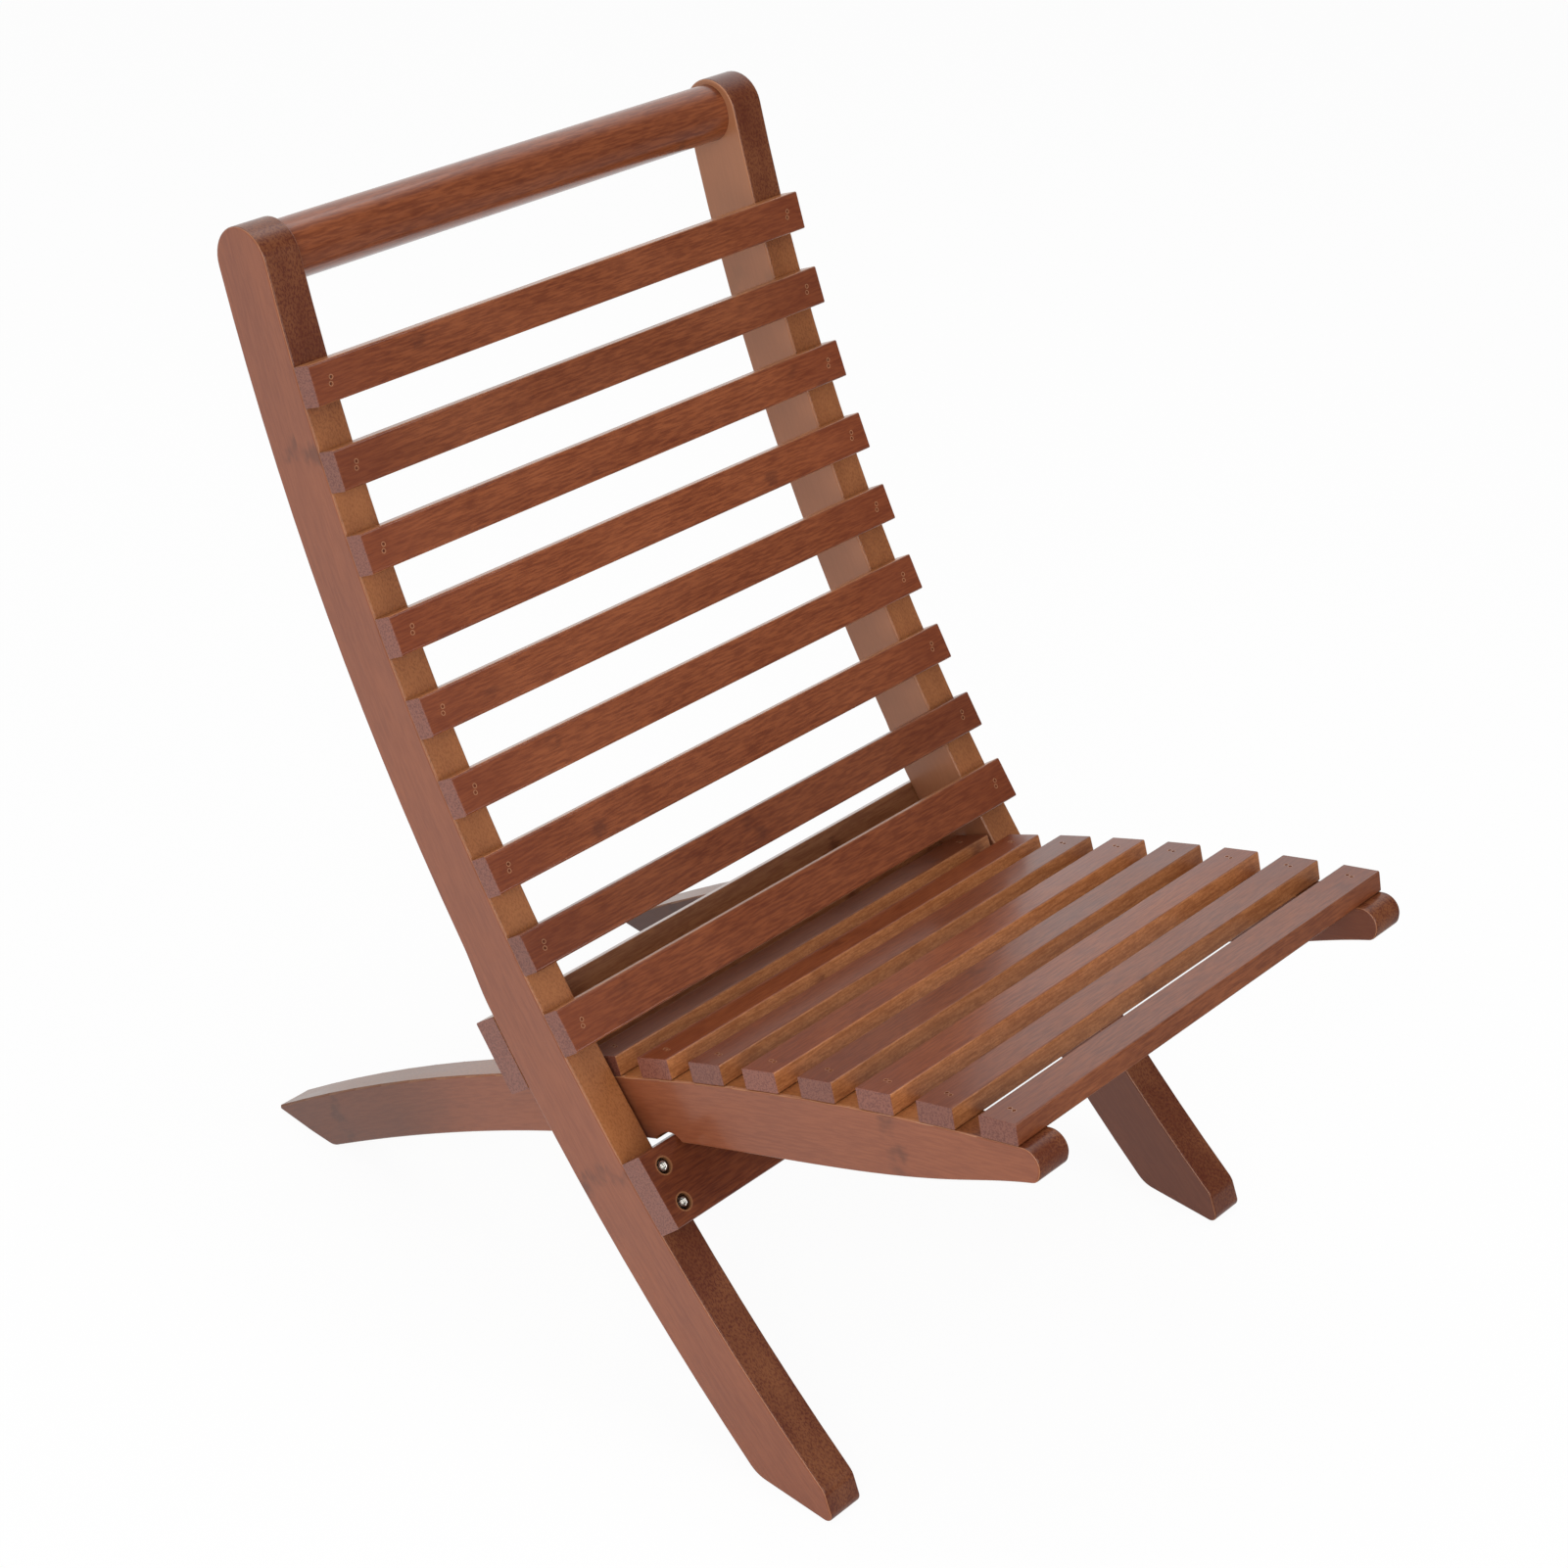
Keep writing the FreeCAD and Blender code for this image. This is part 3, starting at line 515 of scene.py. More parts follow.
def close_lacquer(tree, colour, rough, height, coat=0.35, coat_rough=0.16, bump=0.12, level=0.4):
    ridge = add(tree, "ShaderNodeBump", {"Height": height, "Strength": bump, "Distance": RIDGE_HEIGHT})
    shader = add(tree, "ShaderNodeBsdfPrincipled",
                 {"Base Color": colour, "Roughness": rough, "Coat Weight": coat, "Coat Roughness": coat_rough,
                  "IOR": LACQUER_IOR, "Specular IOR Level": level, "Normal": ridge.outputs[0]})
    end = add(tree, "ShaderNodeOutputMaterial")
    tree.links.new(shader.outputs[0], end.inputs[0])


def grain_colour(tree, masks, deep, light, joint, strength=1.0):
    tone = maths(tree, "MULTIPLY_ADD", masks["Fibre"], 0.60 * strength, 0.5 - 0.30 * strength - 0.16)
    tone = maths(tree, "MULTIPLY_ADD", masks["Blotch"], 0.22, tone)
    tone = maths(tree, "MULTIPLY_ADD", masks["Strip"], 0.10, tone, clamp=True)
    stained = blend_colour(tree, tone, deep, light)
    return blend_colour(tree, maths(tree, "MULTIPLY", masks["Joint"], 0.6), stained, joint)


print("lacquer helpers are ready")

# %% [markdown]
# ## Finish of the slats
# The back slats show their wide face to the viewer, deep reddish brown with very fine
# lines. The seat slats are the same sticks seen from above. Each stick has its own tone.

# %% Slat finish
WIDE_DEEP, WIDE_LIGHT = (0.120, 0.022, 0.006), (0.300, 0.082, 0.025)
NARROW_DEEP, NARROW_LIGHT = (0.270, 0.085, 0.025), (0.540, 0.215, 0.080)
END_DEEP, END_LIGHT = (0.150, 0.040, 0.025), (0.240, 0.080, 0.050)
JOINT_BROWN = (0.085, 0.018, 0.007)
RIM_TAN = (0.42, 0.20, 0.10)
END_RED = (0.150, 0.026, 0.007)
SPECK_BROWN = (0.17, 0.050, 0.015)
SLAT_JOINTS = 1.6


def slat_finish(name, half_length, half_width, rail_x, seed):
    made, tree = new_material(name)
    place = add(tree, "ShaderNodeAttribute", attribute_name="stick_place").outputs["Vector"]
    tone = add(tree, "ShaderNodeAttribute", attribute_name="stick_tone").outputs["Fac"]
    last = add(tree, "ShaderNodeAttribute", attribute_name="last_stick").outputs["Fac"]
    own_seed = maths(tree, "MULTIPLY_ADD", tone, 9.0, seed)
    masks = add(tree, "ShaderNodeGroup", {"Place": place, "Seed": own_seed, "Joint Spacing": SLAT_JOINTS},
                node_tree=grain)
    faces = add(tree, "ShaderNodeGroup", {"Place": place, "Half Length": half_length, "Half Width": half_width},
                node_tree=stick)
    wide = grain_colour(tree, masks.outputs, WIDE_DEEP, WIDE_LIGHT, JOINT_BROWN)
    parts = add(tree, "ShaderNodeSeparateXYZ", {0: place}).outputs
    near_end = ramp(tree, maths(tree, "ABSOLUTE", parts[0]), half_length - 0.10, half_length - 0.005)
    wide = blend_colour(tree, maths(tree, "MULTIPLY", near_end, 0.45), wide, END_RED)
    golden = grain_colour(tree, masks.outputs, NARROW_DEEP, NARROW_LIGHT, JOINT_BROWN)
    golden = blend_colour(tree, maths(tree, "MULTIPLY", masks.outputs["Speckle"], 0.30), golden, SPECK_BROWN)
    narrow = maths(tree, "MULTIPLY", faces.outputs["Narrow"], maths(tree, "MULTIPLY_ADD", last, -0.85, 1.0))
    colour = blend_colour(tree, narrow, wide, golden)
    colour = blend_colour(tree, maths(tree, "MULTIPLY", faces.outputs["Edge"], 0.10), colour, RIM_TAN)
    sawn = blend_colour(tree, masks.outputs["Speckle"], END_LIGHT, END_DEEP)
    colour = blend_colour(tree, faces.outputs["End"], colour, sawn)
    nails = add(tree, "ShaderNodeGroup", {"X": parts[0], "Y": parts[1], "Reach": rail_x,
                                          "Spacing": BRAD_SPACING, "Skew": BRAD_SKEW}, node_tree=pairs)
    top = ramp(tree, parts[2], SLAT_THICK - 0.0003, SLAT_THICK - 0.0001)
    rim = maths(tree, "MULTIPLY", ramp(tree, nails.outputs[0], 0.0021, 0.0016), top)
    colour = blend_colour(tree, maths(tree, "MULTIPLY", rim, 0.75), colour, RIM_TAN)
    level = maths(tree, "MULTIPLY_ADD", tone, 0.30, 0.85)
    scaled = add(tree, "ShaderNodeVectorMath", {0: colour, "Scale": level}, operation="SCALE").outputs[0]
    rough = maths(tree, "MULTIPLY_ADD", masks.outputs["Blotch"], 0.08, 0.34)
    close_lacquer(tree, scaled, rough, masks.outputs["Fibre"])
    return made


back_slat_wood = slat_finish("back_slat_lacquer", BACK_HALF, BACK_SLAT_WIDTH / 2.0, BACK_RAIL_X, 0.0)
seat_slat_wood = slat_finish("seat_slat_lacquer", SEAT_HALF, SEAT_SLAT_WIDTH / 2.0, SEAT_RAIL_X, 20.0)
lowest_slat_wood = slat_finish("lowest_slat_lacquer", BACK_HALF, ODD_SLAT_WIDTH / 2.0, BACK_RAIL_X, 31.0)
rear_slat_wood = slat_finish("rear_slat_lacquer", SEAT_HALF, ODD_SLAT_WIDTH / 2.0, SEAT_RAIL_X, 42.0)
print("slat finish nodes:", len(back_slat_wood.node_tree.nodes))

# %% [markdown]
# ## Laying the slats
# Each row is one piece: eight even slats on the back, seven on the seat. The two wider
# slats, where the frames meet, are pieces of their own, made from their own blanks.

# %% Lay the slats
BACK_ROW = ("back_frame", "back_slat", BACK_CHORD, BACK_STEP, BACK_CENTRE, math.pi / 2.0)
SEAT_ROW = ("seat_frame", "seat_slat", SEAT_RADIUS, SEAT_STEP, SEAT_CENTRE, -math.pi / 2.0)


def lay_slats(name, blank, row, first, last, angle, wood, seed):
    body, prefix, radius, step, centre, turn = row
    count = last - first + 1
    piece = new_mesh_object(name, run_tree(name, slat_tree, arc_values(
        blank, count, radius, angle, step, centre, turn, wood, Seed=seed)))
    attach(piece, body)
    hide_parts(*[f"{prefix}_{number}" for number in range(first, last + 1)])
    print(name, "slats:", count, "vertices:", len(piece.data.vertices))


lay_slats("back_slats", back_blank, BACK_ROW, 1, BACK_SLATS - 1, BACK_FIRST, back_slat_wood, 11)
lay_slats("lowest_back_slat", lowest_blank, BACK_ROW, BACK_SLATS, BACK_SLATS, back_angles[-1],
          lowest_slat_wood, 5)
lay_slats("rear_seat_slat", rear_blank, SEAT_ROW, 1, 1, seat_angles[0], rear_slat_wood, 8)
lay_slats("seat_slats", seat_blank, SEAT_ROW, 2, SEAT_SLATS, seat_angles[1], seat_slat_wood, 4)

# %% [markdown]
# ## Brads
# Each brad is a thin headed pin driven just below the face. Only its head shows, a dull
# dark dot in a small hole. The head has a shallow dome and the shank keeps its length.

# %% Brads
BRAD_SHANK = 1.6 * MM
BRAD_LENGTH = 31.0 * MM


def skin_rings(name, shape, rings, angle):
    count = len(rings[0])
    for upper, lower in zip(rings, rings[1:]):
        for k in range(count):
            shape.faces.new((upper[k], lower[k], lower[(k + 1) % count], upper[(k + 1) % count]))
    shape.faces.new(rings[0])
    shape.faces.new(list(reversed(rings[-1])))
    bmesh.ops.recalc_face_normals(shape, faces=shape.faces)
    mesh = bpy.data.meshes.new(name)
    shape.to_mesh(mesh)
    shape.free()
    smooth_faces(mesh, angle)
    return new_mesh_object(name, mesh)


def cloudy_metal(name, scale, detail, dark, light, rough_low, rough_high):
    made, tree = new_material(name)
    here = add(tree, "ShaderNodeTexCoord").outputs["Object"]
    cloud = add(tree, "ShaderNodeTexNoise", {"Vector": here, "Scale": scale, "Detail": detail}).outputs[0]
    colour = blend_colour(tree, cloud, dark, light)
    shader = add(tree, "ShaderNodeBsdfPrincipled", {"Base Color": colour, "Metallic": 1.0,
                                                    "Roughness": ramp(tree, cloud, 0.3, 0.7, rough_low, rough_high)})
    tree.links.new(shader.outputs[0], add(tree, "ShaderNodeOutputMaterial").inputs[0])
    return made, tree, shader, cloud, colour


def turned_pin(name, rings, segments=16):
    shape = bmesh.new()
    loops = []
    for radius, height in rings:
        angles = [2.0 * math.pi * k / segments for k in range(segments)]
        loops.append([shape.verts.new((radius * math.cos(a), radius * math.sin(a), height)) for a in angles])
    return skin_rings(name, shape, loops, 50.0)


head, shank = BRAD_HEAD / 2.0 - 0.00005, BRAD_SHANK / 2.0
brad_blank = turned_pin("brad_blank", ((head * 0.45, 0.0), (head * 0.85, -0.08 * MM), (head, -0.25 * MM),
                                       (head, -0.8 * MM), (shank, -0.9 * MM), (shank, -BRAD_LENGTH + 1.0 * MM),
                                       (shank * 0.25, -BRAD_LENGTH)))

brad_steel = cloudy_metal("brad_steel_finish", 900.0, 3.0, (0.10, 0.075, 0.06), (0.36, 0.31, 0.27), 0.35, 0.6)[0]

LIFT = SLAT_THICK - BRAD_SINK


def lay_brads(name, row, count, lift, first, rail_x, odd):
    body, prefix, radius, step, centre, turn = row
    values = arc_values(brad_blank, count, radius + lift, first, step, centre, turn, brad_steel,
                        Reach=rail_x, Spacing=BRAD_SPACING, Skew=BRAD_SKEW)
    values["Odd Row"], values["Odd Shift"] = odd
    piece = new_mesh_object(name, run_tree(name, pair_tree, values))
    node = prefix + "_brads"
    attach(piece, body)
    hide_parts(node)


lay_brads("back_brads", BACK_ROW, BACK_SLATS, -LIFT, BACK_FIRST, BACK_RAIL_X, (BACK_SLATS - 1, LOWEST_SHIFT))
lay_brads("seat_brads", SEAT_ROW, SEAT_SLATS, LIFT, SEAT_FIRST, SEAT_RAIL_X, (0, REAR_SHIFT))

# %% [markdown]
# ## Bolts
# Eight bright socket-head bolts hold the two stretchers. Each head sits in a counterbore.
# The head is turned, with an eased rim, and a six-sided socket goes down into it.

# %% Bolts
BOLT_HEAD = 10.0 * MM
BOLT_SHANK = 6.0 * MM
SOCKET_ACROSS = 5.0 * MM
HEAD_HIGH = 6.0 * MM
COUNTERBORE = 7.0 * MM
SHANK_LONG = 30.0 * MM
COUNTERBORE_SHADE_DARK = (0.060, 0.040, 0.030)


def socket_bolt(name, segments=48):
    shape = bmesh.new()
    from_axis = shape.verts.layers.float.new("from_axis")
    head, shank = BOLT_HEAD / 2.0, BOLT_SHANK / 2.0
    reach = SOCKET_ACROSS / 2.0 / math.cos(math.pi / 6.0)

    def ring(radius, height, six=False):
        made = []
        for k in range(segments):
            angle = 2.0 * math.pi * k / segments
            r = radius
            if six:
                from_flat = (angle + math.pi / 6.0) % (math.pi / 3.0) - math.pi / 6.0
                r = radius * math.cos(math.pi / 6.0) / math.cos(from_flat)
            made.append(shape.verts.new((r * math.cos(angle), r * math.sin(angle), height)))
            made[-1][from_axis] = r
        return made

    rings = [ring(reach * 0.9, -3.3 * MM, True), ring(reach, -3.0 * MM, True), ring(reach, -0.25 * MM, True),
             ring(reach + 0.3 * MM, 0.0, True), ring(head - 0.75 * MM, 0.0), ring(head - 0.3 * MM, -0.14 * MM),
             ring(head - 0.05 * MM, -0.5 * MM), ring(head, -0.9 * MM), ring(head, -HEAD_HIGH),
             ring(shank, -HEAD_HIGH), ring(shank, -HEAD_HIGH - SHANK_LONG + 1.0 * MM),
             ring(shank * 0.7, -HEAD_HIGH - SHANK_LONG)]
    return skin_rings(name, shape, rings, 38.0)


bolt_blank = socket_bolt("bolt_blank")

bolt_zinc, tree, shader, cloud, colour = cloudy_metal(
    "bolt_zinc_finish", 420.0, 4.0, (0.42, 0.41, 0.39), (0.75, 0.73, 0.69), 0.14, 0.26)
radius = add(tree, "ShaderNodeAttribute", attribute_name="from_axis").outputs["Fac"]
# painted shade: the outer rim of each bolt head, sitting down in the counterbore, is mixed towards near black
colour = blend_colour(tree, ramp(tree, radius, 0.0033, 0.0040), colour, COUNTERBORE_SHADE_DARK)
tree.links.new(colour, shader.inputs["Base Color"])
ridge = add(tree, "ShaderNodeBump", {"Height": cloud, "Strength": 0.15, "Distance": RIDGE_HEIGHT})
tree.links.new(ridge.outputs[0], shader.inputs["Normal"])

STRETCHER_WIDTH = 58.0 * MM
STRETCHER_THICK = 22.0 * MM
BOLT_ROWS = STRETCHER_WIDTH - 29.0 * MM
FRONT_ANGLE = -BACK_LEAN - 708.6 * MM / BACK_RADIUS
REAR_ANGLE = -BACK_LEAN - 576.2 * MM / BACK_RADIUS
FRONT_FACE = math.sqrt(BACK_RADIUS ** 2 - (STRETCHER_WIDTH / 2.0) ** 2) - STRETCHER_THICK
REAR_FACE = BACK_RADIUS + 56.0 * MM + STRETCHER_THICK
HEAD_TOP = COUNTERBORE - HEAD_HIGH
for name, angle, radius, turn, node in (
        ("front_bolts", FRONT_ANGLE, FRONT_FACE + HEAD_TOP, math.pi / 2.0, "front_stretcher_bolts"),
        ("rear_bolts", REAR_ANGLE, REAR_FACE - HEAD_TOP, -math.pi / 2.0, "rear_stretcher_bolts")):
    piece = new_mesh_object(name, run_tree(name, pair_tree, arc_values(
        bolt_blank, 1, radius, angle, 0.0, BACK_CENTRE, turn, bolt_zinc,
        Reach=BACK_RAIL_X, Spacing=BOLT_ROWS, Skew=0.0)))
    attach(piece, "back_frame")
    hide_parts(node)

# %% [markdown]
# ## Finish of the rails
# Each rail is sawn from a wide laminated board, so its side faces show the long grain and
# the soft joints of the cane, smooth and pinkish brown. The front and rear faces cut across the
# laminations and look golden and speckled. A painted highlight lightens the middle of each
# rounded corner. Painted shade darkens the inner sides of the seat rails and of the back
# rails' legs, and darkens the seat rails towards their rear legs.

# %% Rail finish
SIDE_DEEP, SIDE_LIGHT = (0.195, 0.048, 0.018), (0.335, 0.100, 0.040)
FACE_DEEP, FACE_LIGHT = (0.100, 0.018, 0.005), (0.430, 0.160, 0.052)


INNER_SHADE_BROWN, INNER_GOLD = (0.070, 0.015, 0.006), (0.470, 0.210, 0.100)
RAIL_JOINT, CORNER_HIGHLIGHT_TAN = (0.10, 0.028, 0.013), (0.50, 0.24, 0.11)


def bent_place(tree, place, centre, radius):
    return add(tree, "ShaderNodeGroup", {"Place": place, "Centre Y": centre[0], "Centre Z": centre[1],
                                         "Radius": radius}, node_tree=curve)


def rail_finish(name, centre, radius, seed, golden_from, golden_to, joint_at, joint_spacing, painted_shade_to, inner_shade_below):
    made, tree = new_material(name)
    coords = add(tree, "ShaderNodeTexCoord").outputs
    bend = bent_place(tree, coords["Object"], centre, radius)
    masks = add(tree, "ShaderNodeGroup", {"Place": bend.outputs["Place"], "Seed": seed, "Strip Width": 0.021,
                                          "Wander": 0.015, "Joint Shift": joint_at * radius,
                                          "Joint Spacing": joint_spacing}, node_tree=grain)
    faces = add(tree, "ShaderNodeGroup", {"Facing": coords["Normal"]}, node_tree=corner)
    side = grain_colour(tree, masks.outputs, SIDE_DEEP, SIDE_LIGHT, RAIL_JOINT, 0.6)
    outward = maths(tree, "SIGN", add(tree, "ShaderNodeSeparateXYZ", {0: coords["Object"]}).outputs[0])
    facing = add(tree, "ShaderNodeSeparateXYZ", {0: coords["Normal"]}).outputs[0]
    # painted shade: each rail's inner face is mixed towards dark brown below a given angle, on the back rails' legs
    # and along the whole seat rails; above it the face is its own lighter tan
    inner = ramp(tree, maths(tree, "MULTIPLY", outward, facing), -0.3, -0.8)
    high = ramp(tree, bend.outputs["Along"], inner_shade_below * radius, (inner_shade_below + 0.1) * radius)
    inner_tan_and_shade = blend_colour(tree, high, INNER_SHADE_BROWN, INNER_GOLD)
    side = blend_colour(tree, maths(tree, "MULTIPLY", inner, 0.6), side, inner_tan_and_shade)
    first = ramp(tree, bend.outputs["Along"], golden_from * radius - 0.03, golden_from * radius + 0.05)
    second = ramp(tree, bend.outputs["Along"], golden_to * radius + 0.03, golden_to * radius - 0.05)
    zone = maths(tree, "MULTIPLY_ADD", maths(tree, "MULTIPLY", first, second), 0.56, 0.16)
    gold = maths(tree, "MULTIPLY_ADD", masks.outputs["Speckle"], -0.24, maths(tree, "SUBTRACT", zone, 0.06))
    gold = maths(tree, "MULTIPLY_ADD", masks.outputs["Blotch"], 0.26, gold, clamp=True)
    front = blend_colour(tree, gold, FACE_DEEP, FACE_LIGHT)
    colour = blend_colour(tree, faces.outputs["Side Face"], front, side)
    # painted highlight: the middle of each rounded corner is mixed towards a pale tan
    colour = blend_colour(tree, maths(tree, "MULTIPLY", faces.outputs["Corner Highlight"], 0.6), colour, CORNER_HIGHLIGHT_TAN)
    # painted shade: below a given angle, towards the seat rails' rear legs, the colour is scaled down to 0.55; on the
    # back rails that angle lies beyond the rail, so nothing changes
    painted_shade = ramp(tree, bend.outputs["Along"], painted_shade_to * radius, (painted_shade_to + 0.07) * radius, 0.55, 1.0)
    colour = add(tree, "ShaderNodeVectorMath", {0: colour, "Scale": painted_shade},
                 operation="SCALE").outputs[0]
    rough = maths(tree, "MULTIPLY_ADD", masks.outputs["Blotch"], 0.08, 0.34)
    close_lacquer(tree, colour, rough, masks.outputs["Fibre"], bump=0.1)
    return made


def dress(node, material):
    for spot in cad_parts[node].material_slots:
        spot.material = material


back_rail_wood = rail_finish("back_rail_lacquer", BACK_CENTRE, BACK_RADIUS, 1.3,
                             FRONT_ANGLE, BACK_FIRST, math.radians(-45.0), 0.55, -2.0,
                             math.radians(-46.0))
seat_rail_wood = rail_finish("seat_rail_lacquer", SEAT_CENTRE, SEAT_RADIUS, 2.9,
                             SEAT_FIRST - 0.4, SEAT_FIRST + SEAT_STEP * 6.4, math.radians(71.3), 0.62,
                             math.radians(56.0), math.radians(90.0))
for side in ("left", "right"):
    dress("back_rail_" + side, back_rail_wood)
    dress("seat_rail_" + side, seat_rail_wood)
print("rail finish nodes:", len(back_rail_wood.node_tree.nodes))

# %% [markdown]
# ## Finish of the stretchers and the handle bar
# The stretchers are flat boards like the slats, only wider, and their grain also runs from
# side to side. Round each bolt the counterbore shows tan wood. The handle bar is turned to
# an oval and worn smooth by hands, so it is glossier.

# %% Stretcher and handle finish
SHADED_BOARD_DEEP, SHADED_BOARD_LIGHT = (0.070, 0.010, 0.003), (0.200, 0.050, 0.015)
REAR_DEEP, REAR_LIGHT = (0.200, 0.070, 0.025), (0.400, 0.170, 0.070)
COUNTERBORE_TAN = (0.30, 0.13, 0.055)


def board_finish(name, angle, radius, with_bolts, seed, rough_base, coat, deep, light):
    made, tree = new_material(name)
    here = add(tree, "ShaderNodeTexCoord").outputs["Object"]
    bend = bent_place(tree, here, BACK_CENTRE, radius)
    x = add(tree, "ShaderNodeSeparateXYZ", {0: here}).outputs[0]
    up = maths(tree, "SUBTRACT", bend.outputs["Along"], angle * radius)
    place = add(tree, "ShaderNodeCombineXYZ", {"X": x, "Y": up, "Z": bend.outputs["Depth"]}).outputs[0]
    masks = add(tree, "ShaderNodeGroup", {"Place": place, "Seed": seed}, node_tree=grain)
    colour = grain_colour(tree, masks.outputs, deep, light, JOINT_BROWN)
    if with_bolts:
        bolts = add(tree, "ShaderNodeGroup", {"X": x, "Y": up, "Reach": BACK_RAIL_X, "Spacing": BOLT_ROWS},
                    node_tree=pairs)
        ring = ramp(tree, bolts.outputs[0], 0.0078, 0.0066)
        colour = blend_colour(tree, maths(tree, "MULTIPLY", ring, 0.8), colour, COUNTERBORE_TAN)
        ends = ramp(tree, maths(tree, "ABSOLUTE", x), BACK_HALF - 0.0004, BACK_HALF - 0.0001)
        sawn = blend_colour(tree, masks.outputs["Speckle"], END_LIGHT, END_DEEP)
        colour = blend_colour(tree, ends, colour, sawn)
    rough = maths(tree, "MULTIPLY_ADD", masks.outputs["Blotch"], 0.10, rough_base)
    close_lacquer(tree, colour, rough, masks.outputs["Fibre"], coat=coat)
    return made


# painted shade: the front stretcher's deep red board colours are darker than the slats', standing in for the shade
# under the seat
dress("front_stretcher", board_finish("front_stretcher_lacquer", FRONT_ANGLE, FRONT_FACE, True, 4.1, 0.36, 0.5,
                                      SHADED_BOARD_DEEP, SHADED_BOARD_LIGHT))
dress("rear_stretcher", board_finish("rear_stretcher_lacquer", REAR_ANGLE, REAR_FACE, True, 5.7, 0.36, 0.5,
                                     REAR_DEEP, REAR_LIGHT))
dress("handle_bar", board_finish("handle_lacquer", -BACK_LEAN, BACK_RADIUS + 26.0 * MM, False, 6.6, 0.28, 0.7,
                                 WIDE_DEEP, WIDE_LIGHT))
print("boards and bar dressed: 3")

# %% [markdown]
# ## Threaded inserts
# Each bolt goes into a threaded insert sunk in the rail. It is plain yellowish steel
# with fine turning lines, and hardly shows.

# %% Insert finish
insert_finish = cloudy_metal("insert_steel_finish", 600.0, 3.0, (0.42, 0.36, 0.22), (0.66, 0.58, 0.38), 0.25, 0.45)[0]
dress("front_stretcher_inserts", insert_finish)
dress("rear_stretcher_inserts", insert_finish)

for blank in (back_blank, seat_blank, lowest_blank, rear_blank, brad_blank, bolt_blank):
    bpy.data.objects.remove(blank)
print("inserts dressed, blanks removed")

# %% [markdown]
# ## Studio: floor, light and camera
# The chair stands on a plain pale floor under soft light. The floor shows the camera and the
# glossy lacquer a near white sheet, and still takes the chair's shadow.

# %% Floor
bpy.context.scene.view_settings.view_transform = "Standard"
floor_mesh = bpy.data.meshes.new("studio_floor")
FLOOR_REACH = 14.0
floor_corners = [(x * FLOOR_REACH, y * FLOOR_REACH, 0.0) for x, y in ((-1, -1), (1, -1), (1, 1), (-1, 1))]
floor_mesh.from_pydata(floor_corners, [], [(0, 1, 2, 3)])
floor = new_mesh_object("studio_floor", floor_mesh)
floor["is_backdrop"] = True
floor_paint, tree = new_material("floor_paint")
rays = add(tree, "ShaderNodeLightPath").outputs
mirrored = maths(tree, "MAXIMUM", rays["Is Glossy Ray"], rays["Is Transmission Ray"])
seen = maths(tree, "MAXIMUM", rays["Is Camera Ray"], mirrored)
place = add(tree, "ShaderNodeSeparateXYZ", {0: add(tree, "ShaderNodeTexCoord").outputs["Object"]}).outputs
fade = ramp(tree, place[1], -0.7, 0.1, 0.22, 1.0)
glow = maths(tree, "MULTIPLY_ADD", rays["Is Camera Ray"], 1.012, maths(tree, "MULTIPLY", mirrored, fade))
matt = add(tree, "ShaderNodeBsdfDiffuse", {"Color": (0.82, 0.82, 0.82, 1.0)}).outputs[0]
WHITE = (1.0, 1.0, 1.0, 1.0)
sheet = add(tree, "ShaderNodeEmission", {"Color": WHITE, "Strength": glow}).outputs[0]
mixed = add(tree, "ShaderNodeMixShader", {0: maths(tree, "MULTIPLY", seen, 0.93), 1: matt, 2: sheet}).outputs[0]
tree.links.new(mixed, add(tree, "ShaderNodeOutputMaterial").inputs[0])
floor_mesh.materials.append(floor_paint)
print("floor reaches", FLOOR_REACH, "m each way")

# %% [markdown]
# ## World and lamps
# The light comes from all round, with four large soft lamps, the strongest at the chair's
# right front. In the lacquer the studio is bright behind the chair and dark in front, so the
# sides of the rails and the seat take a white sheen and the back slats stay deep red.

# %% World and lamps
world = bpy.data.worlds.new("studio")
bpy.context.scene.world = world
world.use_nodes = True
tree = world.node_tree
tree.nodes.clear()
way = add(tree, "ShaderNodeSeparateXYZ", {0: add(tree, "ShaderNodeTexCoord").outputs["Generated"]}).outputs
behind = ramp(tree, way[1], -0.7, 0.5, 0.45, 1.0)
backdrop = ramp(tree, way[1], -0.35, 0.35, 0.12, 1.0)
behind = maths(tree, "MULTIPLY", behind, 0.62)
sky = add(tree, "ShaderNodeBackground", {"Color": WHITE, "Strength": behind})
open_white = add(tree, "ShaderNodeBackground", {"Color": WHITE, "Strength": backdrop})
rays = add(tree, "ShaderNodeLightPath").outputs
mirrored = maths(tree, "MAXIMUM", rays["Is Glossy Ray"], rays["Is Transmission Ray"])
seen = maths(tree, "MAXIMUM", rays["Is Camera Ray"], mirrored)
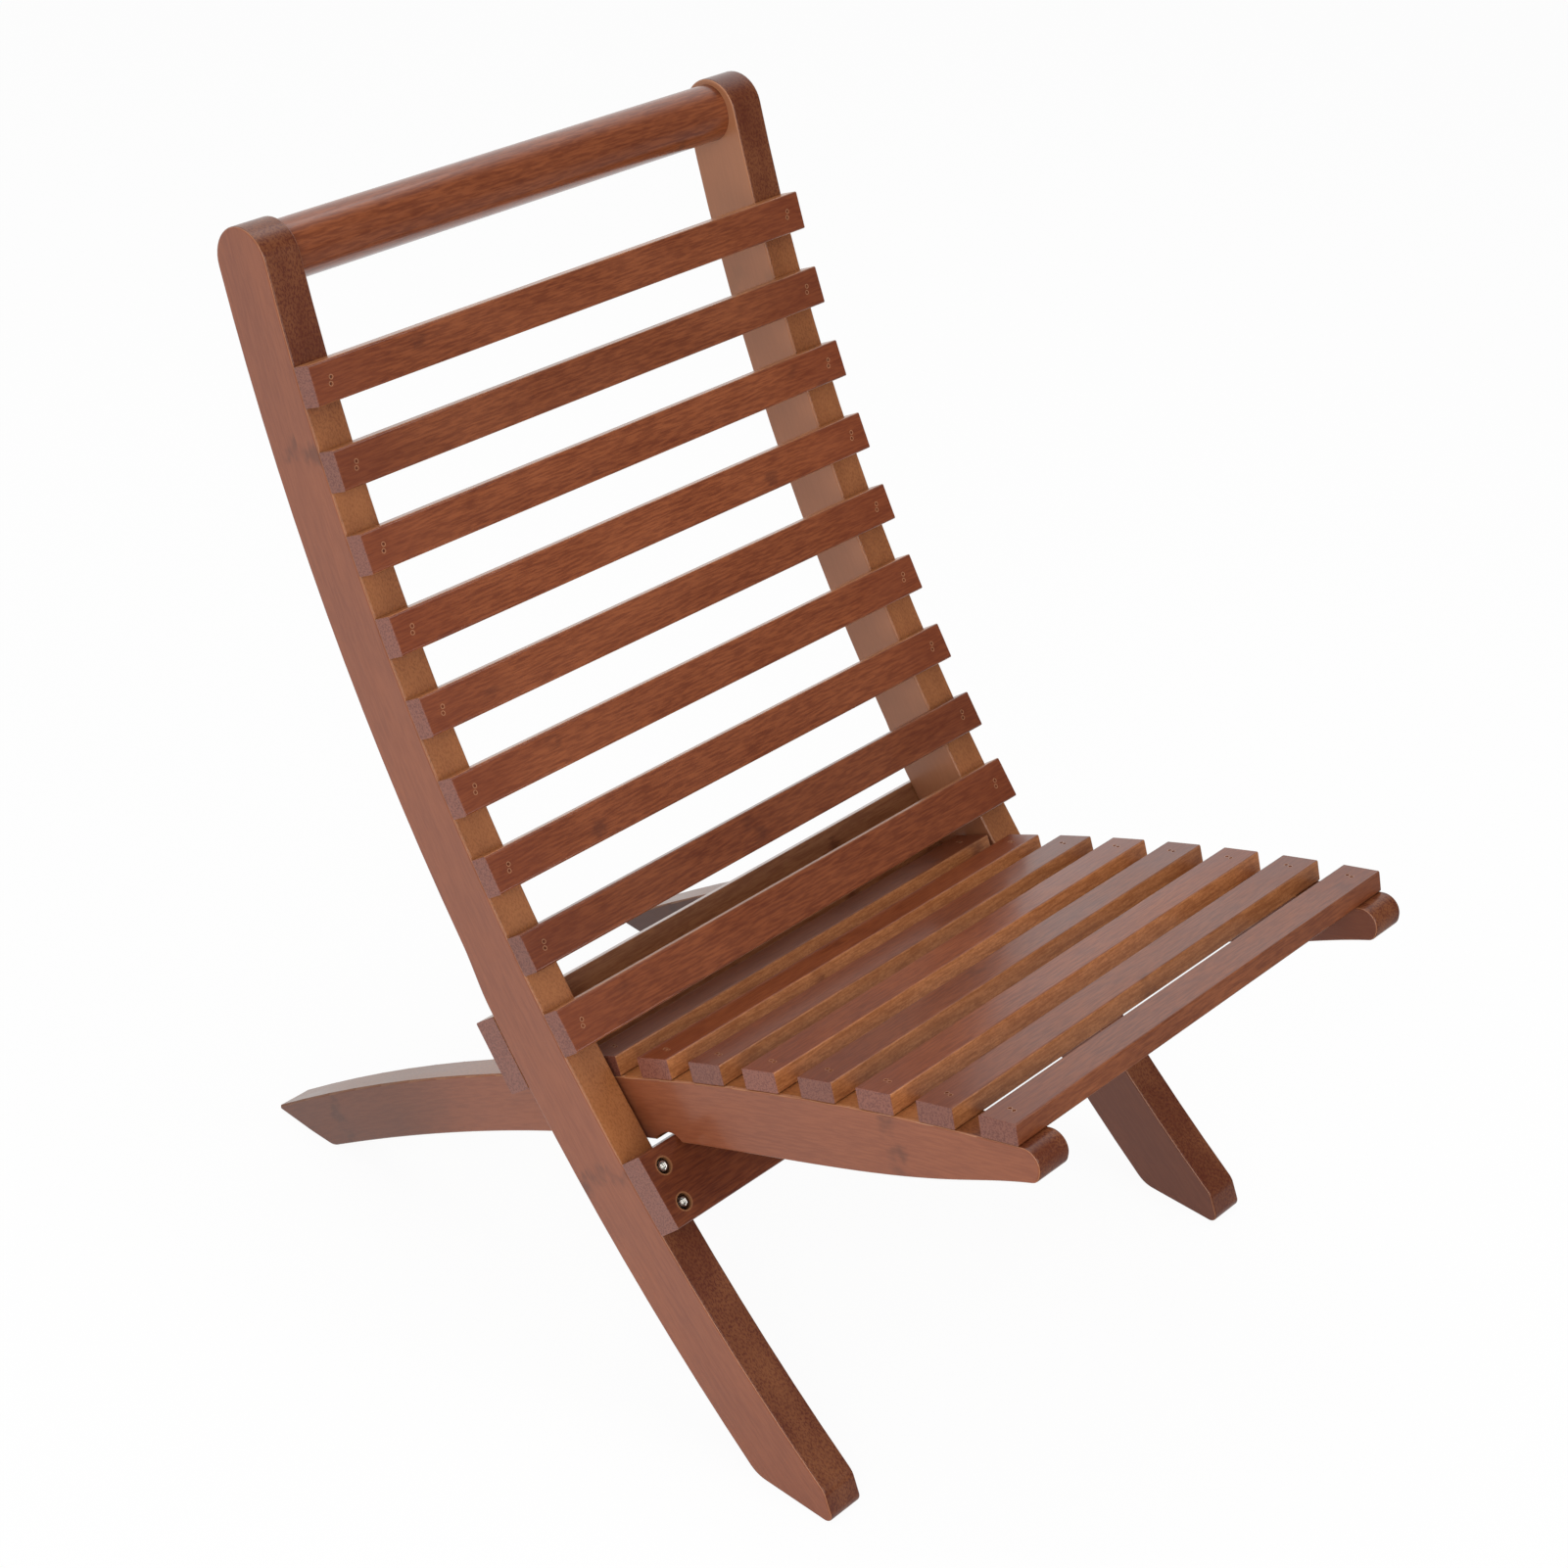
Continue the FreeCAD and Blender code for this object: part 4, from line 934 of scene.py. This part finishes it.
both = add(tree, "ShaderNodeMixShader", {0: seen, 1: sky.outputs[0], 2: open_white.outputs[0]}).outputs[0]
tree.links.new(both, add(tree, "ShaderNodeOutputWorld").inputs[0])


def softbox(name, place, target, width, height, power):
    data = bpy.data.lights.new(name, "AREA")
    data.shape = "RECTANGLE"
    data.size, data.size_y, data.energy = width, height, power
    lamp = bpy.data.objects.new(name, data)
    bpy.context.scene.collection.objects.link(lamp)
    lamp.location = place
    lamp.rotation_euler = (Vector(target) - Vector(place)).to_track_quat("-Z", "Y").to_euler()
    return lamp


softbox("soft_left", (-2.6, -1.4, 2.3), (0.0, 0.0, 0.35), 1.8, 1.8, 40.0)
softbox("soft_front", (0.6, -3.0, 2.2), (0.0, 0.0, 0.4), 1.6, 1.2, 26.0)
softbox("soft_top", (0.3, 0.6, 3.0), (0.0, 0.0, 0.3), 2.2, 2.2, 22.0)
softbox("soft_low", (-1.9, -2.1, 0.7), (0.0, 0.0, 0.4), 0.7, 1.2, 14.0)

# %% [markdown]
# The camera's place and lens were worked out from the slants of the real chair's edges. The
# picture is square, and the camera looks down at it from the chair's right front.

# %% Camera
view = bpy.data.cameras.new("camera")
view.sensor_fit = "HORIZONTAL"
SENSOR_WIDTH, FOCAL_PIXELS, PICTURE_PIXELS = 36.0, 3300.0, 1601.0
view.sensor_width = SENSOR_WIDTH
view.lens = FOCAL_PIXELS / PICTURE_PIXELS * SENSOR_WIDTH
camera = bpy.data.objects.new("camera", view)
bpy.context.scene.collection.objects.link(camera)
right = Vector((0.657194, -0.750623, 0.068271))
down = Vector((-0.355663, -0.388699, -0.849951))
forward = Vector((0.66453, 0.534301, -0.52242))
turn = Matrix((right, -down, -forward)).transposed()
camera.matrix_world = Matrix.Translation((-1.60382, -1.25264, 1.63189)) @ turn.to_4x4()
bpy.context.scene.camera = camera
print("lens", round(view.lens, 2), "mm")

visual_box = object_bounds()
for title, box in (("cad", cad_box), ("visual", visual_box)):
    print(title, [[round(c, 4) for c in v] for v in box])
